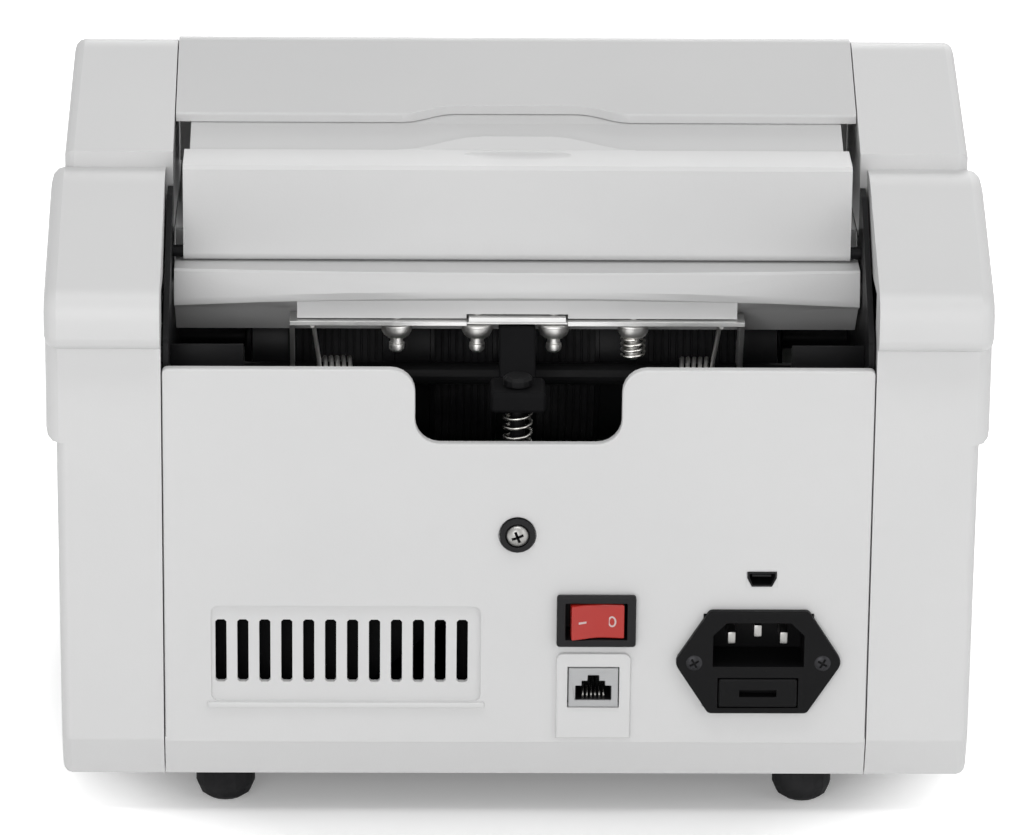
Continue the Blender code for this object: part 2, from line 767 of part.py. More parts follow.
def power_switch(black, red):
    """The snap-in switch: a bezel with a hollow body, and the rocker on its upright pivot."""
    x, z = SWITCH_AT
    face = u(-2 * mm)
    rim = centred(SWITCH_AT, SWITCH_BEZEL, 0, 0.8 * mm)
    bezel = slab(rim, "Y", u(-GAP), face, bevel=0.5 * mm, segments=2)
    made = add_object("power_switch_bezel", to_mesh("power_switch_bezel", bezel), black)
    join(made, slab(centred(SWITCH_AT, SWITCH_BODY), "Y", u(SWITCH_DEPTH), u(-0.8 * mm)))
    well = centred(SWITCH_AT, (ROCKER[0] + 1.6 * mm, ROCKER[1]), 0.35 * mm)
    hollow = slab(well, "Y", u(8 * mm), u(-3 * mm))
    cut(made, hollow)
    half = ROCKER[0] / 2
    pivot_y = u(0.6 * mm)
    outline = [(-half, 3.4 * mm), (-half, 0.4 * mm), *arc((0, 0), 5.4 * mm, 210, 330, 8), (half, 0.4 * mm)]
    outline += [(half, 3.4 * mm), *arc((0, 14.6 * mm), 12.6 * mm, -62, -118, 6)[1:-1]]
    turn = Matrix.Rotation(-ROCKER_TILT, 4, "Z")
    rocker = slab(outline, "Z", -ROCKER[1] / 2, ROCKER[1] / 2, bevel=0.4 * mm, ends="both", segments=2)
    transformed(rocker, turn.inverted())
    data = to_mesh("power_rocker", rocker)
    data.transform(Matrix.Translation((x, pivot_y, z)))
    add_object("power_rocker", data, red, origin=(x, pivot_y, z))


def line_jack(grey):
    """A six-way jack: a stepped opening with the latch step on top and a row of contacts."""
    x, z = JACK_AT
    low_z = z - JACK_SIZE[1] / 2 + 2 * mm
    face = u(-BOSS_PROUD - 0.6 * mm)
    block = slab(centred(JACK_AT, JACK_SIZE), "Y", u(12 * mm), face, bevel=0.3 * mm, segments=1)
    made = add_object("line_jack", to_mesh("line_jack", block), grey)
    half = JACK_OPENING / 2
    opening = [
        (x - half, low_z),
        (x + half, low_z),
        (x + half, low_z + 4.2 * mm),
        (x + half - 1.7 * mm, low_z + 4.2 * mm),
        (x + half - 1.7 * mm, low_z + 5.6 * mm),
        (x + half - 3.3 * mm, low_z + 5.6 * mm),
        (x + half - 3.3 * mm, low_z + 7.2 * mm),
        (x - half + 3.3 * mm, low_z + 7.2 * mm),
        (x - half + 3.3 * mm, low_z + 5.6 * mm),
        (x - half + 1.7 * mm, low_z + 5.6 * mm),
        (x - half + 1.7 * mm, low_z + 4.2 * mm),
        (x - half, low_z + 4.2 * mm),
    ]
    cut(made, slab(opening, "Y", u(9.5 * mm), u(-4 * mm)))


def usb_socket(steel):
    """A small flared shell with its tongue."""
    x, z = USB_AT
    half, high = USB_SIZE[0] / 2, USB_SIZE[1] / 2
    outline = [
        (x - half, z + high),
        (x - half, z + 0.3 * mm),
        (x - half + 1.2 * mm, z - high),
        (x + half - 1.2 * mm, z - high),
        (x + half, z + 0.3 * mm),
        (x + half, z + high),
    ]
    shell = slab(outline, "Y", u(8 * mm), u(-0.3 * mm))
    made = add_object("usb_socket", to_mesh("usb_socket", shell), steel)
    thin = 0.5 * mm
    inner = [
        (x - half + thin, z + high - thin),
        (x - half + thin, z + 0.5 * mm),
        (x - half + 1.4 * mm, z - high + thin),
        (x + half - 1.4 * mm, z - high + thin),
        (x + half - thin, z + 0.5 * mm),
        (x + half - thin, z + high - thin),
    ]
    cut(made, slab(inner, "Y", u(6.5 * mm), u(-2 * mm)))
    join(made, box((x - 2.6 * mm, u(7 * mm), z + 0.2 * mm), (x + 2.6 * mm, u(1.2 * mm), z + 0.9 * mm)))


def mains_inlet(black):
    """The appliance inlet: a hexagonal flange, its recess with three blades, and the fuse drawer."""
    x, z = INLET_AT
    tip, flat, high = INLET_WIDTH / 2, INLET_FLAT / 2, INLET_HEIGHT / 2
    flange = rounded(
        [
            (x + tip, z, 3 * mm),
            (x + flat, z + high, 1.5 * mm),
            (x - flat, z + high, 1.5 * mm),
            (x - tip, z, 3 * mm),
            (x - flat, z - high, 1.5 * mm),
            (x + flat, z - high, 1.5 * mm),
        ],
        steps=3,
    )
    face = u(-2.4 * mm)
    plate = slab(flange, "Y", u(-GAP), face, bevel=0.5 * mm, segments=2)
    made = add_object("mains_inlet", to_mesh("mains_inlet", plate), black)
    join(made, slab(centred(INLET_AT, INLET_BODY), "Y", u(INLET_DEPTH), u(-1 * mm)))
    wide, tall, deep = INLET_RECESS
    middle = z + RECESS_RISE
    chamfer = 3.6 * mm
    recess = [
        (x - wide / 2, middle - tall / 2),
        (x + wide / 2, middle - tall / 2),
        (x + wide / 2, middle + tall / 2 - chamfer),
        (x + wide / 2 - chamfer, middle + tall / 2),
        (x - wide / 2 + chamfer, middle + tall / 2),
        (x - wide / 2, middle + tall / 2 - chamfer),
    ]
    drawer_at = (x, z - DRAWER_DROP)
    cut(
        made,
        slab(recess, "Y", u(deep - 2.4 * mm), u(-4 * mm)),
        slab(centred(drawer_at, DRAWER_SIZE, GAP), "Y", u(DRAWER_SIZE[2] + GAP), u(-4 * mm)),
    )
    blades = []
    for place, rise in ((-PIN_PITCH, 0), (0, 2 * mm), (PIN_PITCH, 0)):
        low = (x + place - 1 * mm, u(deep), middle - 1.6 * mm + rise)
        high_corner = (x + place + 1 * mm, u(3 * mm), middle + 1.6 * mm + rise)
        blades.append(box(low, high_corner, 0.4 * mm, 1))
    join(made, many(blades))
    drawer = slab(
        centred(drawer_at, DRAWER_SIZE, 0, 0.6 * mm),
        "Y",
        u(DRAWER_SIZE[2]),
        u(-2.9 * mm),
        bevel=0.4 * mm,
        segments=1,
    )
    fuse = add_object("fuse_drawer", to_mesh("fuse_drawer", drawer), black)
    grip = box(
        (x - 5 * mm, u(0.5 * mm), drawer_at[1] - 1 * mm),
        (x + 5 * mm, u(-4 * mm), drawer_at[1] + 1 * mm),
    )
    fuse_hollow = rod("X", (u(8 * mm), drawer_at[1]), 2.8 * mm, x - 10 * mm, x + 10 * mm, sides=12)
    slot = box(
        (x - 9.9 * mm, u(12 * mm), drawer_at[1]),
        (x + 9.9 * mm, u(4 * mm), drawer_at[1] + 6 * mm),
    )
    cut(fuse, grip, fuse_hollow, slot)


def arch(outer, flat, rise, base, steps=5):
    """A low arch in plan, as (x, Y) points: soft shoulders that climb to a flat top."""
    climb = []
    for i in range(steps + 1):
        t = i / steps
        climb.append((-outer + (outer - flat) * t, base - rise * 0.5 * (1 - math.cos(math.pi * t))))
    return climb + [(-x, y) for x, y in reversed(climb)]


def hopper_rear_cover(finish):
    """The sloped cover between the hopper cheeks, folded down in front as the hopper's back."""
    half = HOPPER_IN - GAP
    low_u, low_z = COVER_REAR, slope_z(COVER_REAR)
    front = CREST_U + 3 * mm
    thick = WALL
    outline = rounded(
        [
            (u(low_u), low_z, 0.8 * mm),
            (u(CREST_U), CREST_Z, 5 * mm),
            (u(front + 2 * mm), CREST_Z - 2 * mm, 2 * mm),
            (u(front), COVER_FOOT),
            (u(front - thick), COVER_FOOT),
            (u(front - 1 * mm), CREST_Z - 6 * mm, 2 * mm),
            (u(CREST_U - 1 * mm), slope_z(CREST_U - 1 * mm, thick), 2 * mm),
            (u(low_u), slope_z(low_u, thick)),
        ]
    )
    shell = slab(outline, "X", -half, half)
    made = add_object("hopper_rear_cover", to_mesh("hopper_rear_cover", shell), finish)
    beyond = u(low_u - 6 * mm)
    plan = arch(*COVER_ARCH, u(low_u)) + [(COVER_ARCH[0], beyond), (-COVER_ARCH[0], beyond)]
    cut(made, slab(plan, "Z", low_z - 8 * mm, CREST_Z + 5 * mm))
    return made


SLOPE_RISE = (CREST_Z - SHOULDER_Z) / (CREST_U - SHOULDER_U)
COVER_FOOT = 152 * mm
COVER_REAR = SHOULDER_U + 15.5 * mm
COVER_ARCH = (31 * mm, 16.5 * mm, 3.4 * mm)
STRIP_RECESS = 1.7 * mm
DOOR_TAB = 4 * mm
TAB_HALF = 32 * mm
TAB_FLAT = 9.2 * mm


def slope_z(distance, drop=0.0):
    """The height of the upper slope at this distance in front of the rear panel."""
    return SHOULDER_Z + (distance - SHOULDER_U) * SLOPE_RISE - drop


def guide_strip(finish):
    """The strip under the cover: its top follows the slope, and its web guides the notes."""
    ledge = DOOR_U + DOOR_LEDGE + RUN
    top_end = COVER_REAR
    thick = 2 * mm
    neck = INNER_WALL_FROM - 2 * mm
    under_cover = WALL + GAP
    top = [
        (u(ledge), slope_z(ledge, STRIP_RECESS)),
        (u(top_end), slope_z(top_end, under_cover)),
        (u(top_end + 6 * mm), slope_z(top_end + 6 * mm, under_cover)),
        (u(top_end + 6 * mm), slope_z(top_end + 6 * mm, under_cover + thick)),
        (u(ledge + thick), slope_z(ledge + thick, STRIP_RECESS + thick)),
        (u(ledge + thick), neck),
        (u(ledge), neck),
    ]
    bar = slab(top, "X", -STRIP_HALF, STRIP_HALF)
    made = add_object("guide_strip", to_mesh("guide_strip", bar), finish)
    web = [
        (u(ledge), neck + 2 * mm),
        (u(ledge + thick), neck + 2 * mm),
        (u(ledge + thick), STRIP_FOOT + 3 * mm),
        (u(ledge + thick - 2 * mm), STRIP_FOOT),
        (u(ledge - 2 * mm), STRIP_FOOT),
        (u(ledge), STRIP_FOOT + 3 * mm),
    ]
    join(made, slab(web, "X", -INSIDE, INSIDE))
    base = u(ledge - 0.2 * mm)
    half = TAB_HALF + 2 * mm
    plan = arch(half, TAB_FLAT + 0.6 * mm, DOOR_TAB + 1 * mm, base)
    plan += [(half, base + 2 * mm), (-half, base + 2 * mm)]
    cut(made, slab(plan, "Z", SHOULDER_Z - 8 * mm, CREST_Z))
    return made


STRIP_HALF = 88.2 * mm
STRIP_FOOT = 132 * mm


def rear_door(finish):
    """The jam-clearing door: ledge with a finger dish on top, face, and a barrel with two pins."""
    pivot_y, pivot_z = DOOR_PIVOT_AT
    inner = DOOR_U + WALL
    ledge_end = DOOR_U + DOOR_LEDGE
    outline = [
        *arc(DOOR_PIVOT_AT, DOOR_BARREL, 180, 360, 8),
        (u(DOOR_U), SHOULDER_Z - 1 * mm),
        (u(DOOR_U + 1 * mm), SHOULDER_Z),
        (u(ledge_end), SHOULDER_Z),
        (u(ledge_end), SHOULDER_Z - 4 * mm),
        (u(ledge_end - 1.8 * mm), SHOULDER_Z - 4 * mm),
        (u(ledge_end - 1.8 * mm), SHOULDER_Z - WALL),
        (u(inner), SHOULDER_Z - WALL),
        (u(inner), pivot_z + 2 * mm),
    ]
    shape = slab(outline, "X", -DOOR_HALF, DOOR_HALF)
    data = to_mesh("rear_door", shape)
    made = add_object("rear_door", data, finish, origin=(0, pivot_y, pivot_z))
    start, end = ledge_end - 4 * mm, ledge_end + DOOR_TAB
    tab = [
        (u(start), SHOULDER_Z - 0.1 * mm),
        (u(ledge_end), SHOULDER_Z + 0.1 * mm),
        (u(end), slope_z(end)),
        (u(end), slope_z(end, 2 * mm)),
        (u(ledge_end), SHOULDER_Z - 2.4 * mm),
        (u(start), SHOULDER_Z - 2.4 * mm),
    ]
    tab_shape = add_object("door_tab", to_mesh("door_tab", slab(tab, "X", -TAB_HALF, TAB_HALF)))
    plan = arch(TAB_HALF, TAB_FLAT, DOOR_TAB, u(ledge_end)) + [
        (TAB_HALF, u(ledge_end - 3 * mm)),
        (-TAB_HALF, u(ledge_end - 3 * mm)),
    ]
    combine(tab_shape, [slab(plan, "Z", SHOULDER_Z - 8 * mm, CREST_Z + 5 * mm)], "INTERSECT")
    step = made.modifiers.new("rear_door_union_tab", "BOOLEAN")
    step.operation = "UNION"
    step.object = tab_shape
    dish = bmesh.new()
    bmesh.ops.create_uvsphere(dish, u_segments=20, v_segments=8, radius=1.0)
    bmesh.ops.scale(dish, vec=(15.5 * mm, 4.4 * mm, 1.6 * mm), verts=dish.verts)
    bmesh.ops.translate(dish, vec=(0, u(ledge_end - 4.6 * mm), SHOULDER_Z + 0.3 * mm), verts=dish.verts)
    cut(made, dish)
    pins = [
        rod("X", DOOR_PIVOT_AT, DOOR_PIN, DOOR_HALF - 1 * mm, PLATE_OUT, sides=16),
        rod("X", DOOR_PIVOT_AT, DOOR_PIN, -PLATE_OUT, 1 * mm - DOOR_HALF, sides=16),
    ]
    join(made, many(pins))
    return made


def guide_lip(finish):
    """The projecting lip: bowed in plan and along its lower edge, hollow inside, on a rail."""
    half = INSIDE - GAP
    steps = 8
    shape = bmesh.new()
    rings = []
    for i in range(steps + 1):
        x = -half + 2 * half * i / steps
        bow = 1 - (x / half) ** 2
        rear = LIP_U[1] + (LIP_U[2] - LIP_U[1]) * bow
        face = LIP_FACE[0] + (LIP_FACE[1] - LIP_FACE[0]) * bow
        outline = [
            (u(LIP_U[0]), LIP_TOP),
            (u(rear + 2 * mm), LIP_TOP),
            (u(rear + 1.3 * mm), LIP_TOP - 0.6 * mm),
            (u(rear - 0.4 * mm), LIP_TOP - face),
            (u(rear - 0.1 * mm), LIP_TOP - face - LIP_BAND),
            (u(LIP_U[0] - 6 * mm), BRACKET_Z + 0.7 * mm),
            (u(LIP_U[0] + 3 * mm), LIP_HEEL),
            (u(LIP_U[0] + 3 * mm), LIP_HEEL + 3.4 * mm),
            (u(LIP_U[0] - 4.6 * mm), BRACKET_Z + 3.6 * mm),
            (u(rear + 3.6 * mm), LIP_TOP - face + 0.6 * mm),
            (u(rear + 3.4 * mm), LIP_TOP - WALL),
            (u(LIP_U[0]), LIP_TOP - WALL),
        ]
        rings.append([shape.verts.new((x, y, z)) for y, z in outline])
    for first, second in zip(rings, rings[1:]):
        for i, vert in enumerate(first):
            j = (i + 1) % len(first)
            shape.faces.new((vert, first[j], second[j], second[i]))
    shape.faces.new(rings[0])
    shape.faces.new(reversed(rings[-1]))
    bmesh.ops.triangulate(shape, faces=shape.faces)
    origin = (0, *PIVOT_AT)
    made = add_object("guide_lip", to_mesh("guide_lip", shape), finish, origin=origin)
    cheek_outline = [
        (u(LIP_U[0]), LIP_TOP - 0.4 * mm),
        (u(LIP_U[1] + 2 * mm), LIP_TOP - 0.4 * mm),
        (u(LIP_U[1] + 2 * mm), LIP_TOP - LIP_FACE[0] + 0.6 * mm),
        (u(LIP_U[0] + 2.4 * mm), LIP_HEEL + 1 * mm),
    ]
    cheeks = [
        slab(cheek_outline, "X", 0.3 * mm - half, 2.3 * mm - half),
        slab(cheek_outline, "X", half - 2.3 * mm, half - 0.3 * mm),
    ]
    join(made, many(cheeks))
    rail = box(
        (2 * mm - BRACKET_HALF, u(37 * mm), BRACKET_Z + GAP),
        (BRACKET_HALF - 2 * mm, u(31 * mm), LIP_TOP - LIP_FACE[1] - 0.6 * mm),
    )
    recess = box(
        (-TONGUE_HALF - 2 * GAP, u(38 * mm), BRACKET_Z - 1 * mm),
        (TONGUE_HALF + 2 * GAP, u(30 * mm), BRACKET_Z + BRACKET_SHEET + GAP),
    )
    holes = [
        rod("Z", (x, u(BRACKET_SCREW_U)), 1.5 * mm + GAP, BRACKET_Z - 1 * mm, BRACKET_Z + 8 * mm, sides=12)
        for x in BRACKET_SCREW_X
    ]
    join(made, rail)
    cut(made, recess, many(holes))
    return made


LIP_HEEL = 121 * mm
LIP_BAND = 2 * mm
TONGUE_HALF = 13 * mm


def pressure_bracket(steel):
    """The folded U: a top plate with a raised middle, and two legs with the pivot holes."""
    rear, front = BRACKET_U
    under = BRACKET_Z - BRACKET_SHEET
    plate = box((-BRACKET_HALF, u(front), under), (BRACKET_HALF, u(rear), BRACKET_Z))
    made = add_object("pressure_bracket", to_mesh("pressure_bracket", plate), steel, origin=(0, *PIVOT_AT))
    leg = [
        (u(rear), BRACKET_Z - 0.2 * mm),
        (u(front), BRACKET_Z - 0.2 * mm),
        (u(LIP_U[0] + 1.3 * mm), LIP_HEEL - 0.4 * mm),
        *arc(PIVOT_AT, 6 * mm, 170, 350, 8),
    ]
    legs = [
        slab(leg, "X", BRACKET_HALF - BRACKET_SHEET, BRACKET_HALF),
        slab(leg, "X", -BRACKET_HALF, BRACKET_SHEET - BRACKET_HALF),
    ]
    tongue = box(
        (-TONGUE_HALF, u(front - 1.2 * mm), BRACKET_Z - 0.2 * mm),
        (TONGUE_HALF, u(rear), BRACKET_Z + BRACKET_SHEET),
    )
    join(made, many(legs), tongue)
    holes = [
        rod("Z", (x, u(BRACKET_SCREW_U)), 1.5 * mm + GAP, under - 1 * mm, BRACKET_Z + 3 * mm, sides=12)
        for x in BRACKET_SCREW_X
    ]
    holes.append(
        rod("X", PIVOT_AT, PIVOT_RADIUS + GAP, -BRACKET_HALF - 1 * mm, BRACKET_HALF + 1 * mm, sides=16)
    )
    relief = box(
        (-TONGUE_HALF - 0.5 * mm, u(rear + 1.5 * mm), under - 1 * mm),
        (TONGUE_HALF + 0.5 * mm, u(rear - 1 * mm), BRACKET_Z - 0.1 * mm),
    )
    cut(made, many(holes), relief)
    return made


def bracket_screw(name, x, long, steel):
    """A domed screw from below with a flange and a knob, up into the rail of the lip."""
    under = -BRACKET_SHEET - 0.2 * mm
    end = -11.5 * mm if long else -9.6 * mm
    profile = [
        (0, 7.4 * mm),
        (1.5 * mm, 7.4 * mm),
        (1.5 * mm, under),
        (SCREW_WASHER, under),
        (SCREW_WASHER, under - 0.7 * mm),
        (3.9 * mm, under - 1 * mm),
        (3.8 * mm, under - 2 * mm),
        (3.0 * mm, under - 3.4 * mm),
        (1.6 * mm, under - 4 * mm),
        (1.6 * mm, end + 2.9 * mm),
        (2.1 * mm, end + 2.5 * mm),
        (2.1 * mm, end + 0.5 * mm),
        (1.5 * mm, end),
        (0, end),
    ]
    return turned(name, profile, steel, (x, u(BRACKET_SCREW_U), BRACKET_Z), steps=12)


def adjuster(black, steel):
    """The black arm under the bracket, and the upright screw that sets the feed gap."""
    low, high = ADJUSTER_Z
    under = BRACKET_Z - BRACKET_SHEET - GAP
    rear = ADJUSTER_U - 7 * mm
    arm = [
        (u(BRACKET_U[1]), under),
        (u(BRACKET_U[0]), under),
        (u(ADJUSTER_U + 6 * mm), high - 0.5 * mm),
        (u(ADJUSTER_U + 6 * mm), low + 0.5 * mm),
        (u(BRACKET_U[1] - 2 * mm), under - 6 * mm),
    ]
    arm_half = min(BRACKET_SCREW_X[2], -BRACKET_SCREW_X[1]) - SCREW_WASHER - RUN
    block = box((-ADJUSTER_HALF, u(ADJUSTER_U + 7 * mm), low), (ADJUSTER_HALF, u(rear), high), 0.8 * mm, 1)
    made = add_object("adjuster_block", to_mesh("adjuster_block", block), black, origin=(0, *PIVOT_AT))
    join(made, slab(arm, "X", -arm_half, arm_half, bevel=0.5 * mm, ends="both", segments=1))
    at = (0, u(ADJUSTER_U))
    clear = ADJUSTING_RADIUS + RUN
    cut(made, rod("Z", at, clear, low - 1 * mm, high + 3 * mm, sides=20))
    head = high + 0.4 * mm
    screw = [
        (0, head + 2.4 * mm),
        (3.2 * mm, head + 2.4 * mm),
        (4.0 * mm, head + 1.6 * mm),
        (4.0 * mm, head),
        (ADJUSTING_RADIUS, head),
        (ADJUSTING_RADIUS, CROSS_BAR_Z - 8 * mm),
        (0, CROSS_BAR_Z - 8 * mm),
    ]
    turned("adjusting_screw", screw, steel, (0, u(ADJUSTER_U), 0), steps=16)


def least_gap(points, wire):
    """The least distance between turns of a wire along these points, measured centre to centre."""
    least = 1.0
    for i, first in enumerate(points):
        for second in points[i + 6 :]:
            least = min(least, (Vector(first) - Vector(second)).length)
    return least - wire


def wire_object(name, points, wire, finish):
    """One unbroken round wire through these points, with closed ends."""
    data = bpy.data.curves.new(name, "CURVE")
    data.dimensions = "3D"
    data.bevel_depth = wire / 2
    data.bevel_resolution = 1
    data.use_fill_caps = True
    spline = data.splines.new("POLY")
    spline.points.add(len(points) - 1)
    for point, place in zip(spline.points, points):
        point.co = (*place, 1.0)
    made = bpy.data.objects.new(name, data)
    COUNTER.objects.link(made)
    data.materials.append(finish)
    print(f"{name}: least gap between turns {least_gap(points, wire) * 1000:.2f} mm")
    return made


def torsion_spring(name, side, steel):
    """Five coils on the pivot shaft, one leg up under the bracket and one down to the cross bar."""
    per_turn = 8
    y, z = PIVOT_AT
    start, end = COIL_X[1] - COIL_WIRE / 2, COIL_X[0] + COIL_WIRE / 2
    count = COIL_TURNS * per_turn
    under = BRACKET_Z - BRACKET_SHEET - GAP - COIL_WIRE / 2
    points = [
        (side * (start + 2 * mm), u(BRACKET_U[1] - 5 * mm), under),
        (side * (start + 2 * mm), u(BRACKET_U[1] - 1.5 * mm), under),
        (side * (start + 1.4 * mm), u(BRACKET_U[1] + 0.5 * mm), under - 4 * mm),
        (side * start, y + COIL_RADIUS, z + 4 * mm),
    ]
    for i in range(count + 1):
        angle = -2 * math.pi * i / per_turn
        x = start + (end - start) * i / count
        points.append((side * x, y + COIL_RADIUS * math.cos(angle), z + COIL_RADIUS * math.sin(angle)))
    reach = u(CROSS_BAR_U[1] - 4 * mm)
    points += [
        (side * end, y + COIL_RADIUS, z + 3 * mm),
        (side * end, y + COIL_RADIUS + 6 * mm, z - 2 * mm),
        (side * end, reach - 3 * mm, CROSS_BAR_Z + 3.4 * mm),
        (side * end, reach, CROSS_BAR_Z + 0.5 * mm + COIL_WIRE / 2),
    ]
    return wire_object(name, points, COIL_WIRE, steel)


def adjuster_spring(steel):
    """The compression spring between the arm and the cross bar, on the adjusting screw."""
    per_turn = 8
    low = CROSS_BAR_Z + GAP + SPRING_WIRE / 2
    high = ADJUSTER_Z[0] - GAP - SPRING_WIRE / 2
    count = SPRING_TURNS * per_turn
    points = []
    for i in range(count + 1):
        angle = 2 * math.pi * i / per_turn
        points.append(
            (
                SPRING_RADIUS * math.cos(angle),
                u(ADJUSTER_U) + SPRING_RADIUS * math.sin(angle),
                low + (high - low) * i / count,
            )
        )
    return wire_object("adjuster_spring", points, SPRING_WIRE, steel)


CROSS_BAR_U = (6 * mm, 26 * mm)


def cross_bar(steel):
    """A folded channel between the chassis plates; it takes the panel and adjusting screws."""
    rear, front = (u(distance) for distance in CROSS_BAR_U)
    outline = [
        (front, CROSS_BAR_Z),
        (rear, CROSS_BAR_Z),
        (rear, CROSS_BAR_Z - 17 * mm),
        (rear - SHEET, CROSS_BAR_Z - 17 * mm),
        (rear - SHEET, CROSS_BAR_Z - SHEET),
        (front + SHEET, CROSS_BAR_Z - SHEET),
        (front + SHEET, CROSS_BAR_Z - 12 * mm),
        (front, CROSS_BAR_Z - 12 * mm),
    ]
    made = add_object("cross_bar", to_mesh("cross_bar", slab(outline, "X", -INSIDE, INSIDE)), steel)
    at = (0, u(ADJUSTER_U))
    cut(
        made,
        rod("Z", at, ADJUSTING_RADIUS + GAP, CROSS_BAR_Z - 4 * mm, CROSS_BAR_Z + 1 * mm, sides=16),
        rod("Y", (0, PANEL_SCREW_Z), 1.5 * mm + GAP, rear - 3 * mm, rear + 1 * mm, sides=12),
    )


def feed_train(steel, black, rubber):
    """The feed drum, the pickup roller, their pulleys and belts, and the motor that turns them."""
    pulley_from = SIDE_IN + WALL
    shaft_end = pulley_from + PULLEY_WIDTH + 2 * mm
    ring = DRUM_RADIUS - 1.5 * mm
    half = DRUM_HALF
    drum = [
        (0, shaft_end),
        (PULLEY_SMALL, shaft_end),
        (PULLEY_SMALL, pulley_from + 1 * mm),
        (SHAFT_RADIUS, pulley_from + 1 * mm),
        (SHAFT_RADIUS, half + 2 * mm),
        (14 * mm, half + 2 * mm),
        (14 * mm, half),
        (DRUM_RADIUS, half),
    ]
    for centre in (TYRE_X, 0, -TYRE_X):
        drum += [
            (DRUM_RADIUS, centre + 5 * mm),
            (ring, centre + 5 * mm),
            (ring, centre - 5 * mm),
            (DRUM_RADIUS, centre - 5 * mm),
        ]
    drum += [
        (DRUM_RADIUS, -half),
        (14 * mm, -half),
        (14 * mm, -half - 2 * mm),
        (SHAFT_RADIUS, -half - 2 * mm),
        (SHAFT_RADIUS, -shaft_end),
        (0, -shaft_end),
    ]
    turned("feed_drum", drum, rubber, (0, *DRUM_AT), axis="X", steps=24)
    pickup = [
        (0, shaft_end),
        (PULLEY_SMALL, shaft_end),
        (PULLEY_SMALL, pulley_from + 1 * mm),
        (SHAFT_RADIUS, pulley_from + 1 * mm),
    ]
    for centre in (TYRE_X, -TYRE_X):
        edge = TYRE_WIDTH / 2
        pickup += [
            (SHAFT_RADIUS, centre + edge + 3 * mm),
            (6 * mm, centre + edge + 3 * mm),
            (6 * mm, centre + edge),
            (PICKUP_RADIUS - 0.6 * mm, centre + edge),
            (PICKUP_RADIUS, centre + edge - 0.6 * mm),
            (PICKUP_RADIUS, centre - edge + 0.6 * mm),
            (PICKUP_RADIUS - 0.6 * mm, centre - edge),
            (6 * mm, centre - edge),
            (6 * mm, centre - edge - 3 * mm),
            (SHAFT_RADIUS, centre - edge - 3 * mm),
        ]
    pickup += [(SHAFT_RADIUS, -PLATE_OUT - 1 * mm), (0, -PLATE_OUT - 1 * mm)]
    turned("pickup_roller", pickup, rubber, (0, *PICKUP_AT), axis="X", steps=16)
    pulley("drum_pulley", -1, DRUM_AT, PULLEY_LARGE, SHAFT_RADIUS, black)
    motor("feed_motor", -1, FEED_MOTOR_AT, steel)
    pulley("feed_motor_pulley", -1, FEED_MOTOR_AT, PULLEY_SMALL, MOTOR_SHAFT, black)
    belt("feed_belt", -1, (DRUM_AT, PULLEY_LARGE), (FEED_MOTOR_AT, PULLEY_SMALL), rubber)
    belt("pickup_belt", 1, (DRUM_AT, PULLEY_SMALL), (PICKUP_AT, PULLEY_SMALL), rubber)


PULLEY_SMALL = 8 * mm
PULLEY_LARGE = 16 * mm


def pulley(name, side, at, radius, bore, finish):
    """A plain belt pulley outside a chassis plate, bored to pass over its shaft with a clearance."""
    start = SIDE_IN + WALL + 1 * mm
    shape = rod("X", (0, 0), radius, start, start + PULLEY_WIDTH, sides=28)
    to_side(shape, side)
    made = add_object(name, to_mesh(name, shape), finish)
    made.location = (0, *at)
    made.data.shade_smooth()
    made.data.set_sharp_from_angle(angle=math.radians(30))
    far = start + PULLEY_WIDTH + 2 * mm
    cut(made, rod("X", at, bore + GAP, *sorted((side * (start - 2 * mm), side * far)), sides=16))
    return made


def motor(name, side, at, finish):
    """A can motor face to face with its chassis plate, its shaft out through the plate."""
    face = PLATE_IN - GAP
    end = SIDE_IN + WALL + PULLEY_WIDTH + 2 * mm
    profile = [
        (0, end),
        (MOTOR_SHAFT, end),
        (MOTOR_SHAFT, face),
        (MOTOR_RADIUS - 1 * mm, face),
        (MOTOR_RADIUS, face - 1 * mm),
        (MOTOR_RADIUS, face - MOTOR_LENGTH + 1 * mm),
        (MOTOR_RADIUS - 1 * mm, face - MOTOR_LENGTH),
        (5 * mm, face - MOTOR_LENGTH),
        (5 * mm, face - MOTOR_LENGTH - 2 * mm),
        (0, face - MOTOR_LENGTH - 2 * mm),
    ]
    made = turned(name, profile, finish, (0, *at), axis="X", steps=16)
    if side < 0:
        made.rotation_euler = (0, math.radians(-90), 0)
    return made


MOTOR_LENGTH = 42 * mm


def belt_outline(first, second, extra):
    """The loop round two pulleys, each (centre, radius), standing this far off them."""
    (centre_a, radius_a), (centre_b, radius_b) = first, second
    gone = Vector(centre_b) - Vector(centre_a)
    heading = math.degrees(math.atan2(gone.y, gone.x))
    lean_angle = math.degrees(math.acos((radius_a - radius_b) / gone.length))
    outline = arc(centre_b, radius_b + extra, heading - lean_angle, heading + lean_angle, 12)
    outline += arc(centre_a, radius_a + extra, heading + lean_angle, heading + 360 - lean_angle, 12)
    return outline


def belt(name, side, first, second, finish):
    """A flat belt: the band between two loops round the pulleys."""
    start = SIDE_IN + WALL + 2 * mm
    width = PULLEY_WIDTH - 2 * mm
    outer = slab(belt_outline(first, second, GAP + BELT_THICK), "X", start, start + width)
    inner = slab(belt_outline(first, second, GAP), "X", start - 1 * mm, start + width + 1 * mm)
    made = add_object(name, to_mesh(name, to_side(outer, side)), finish)
    cut(made, to_side(inner, side))


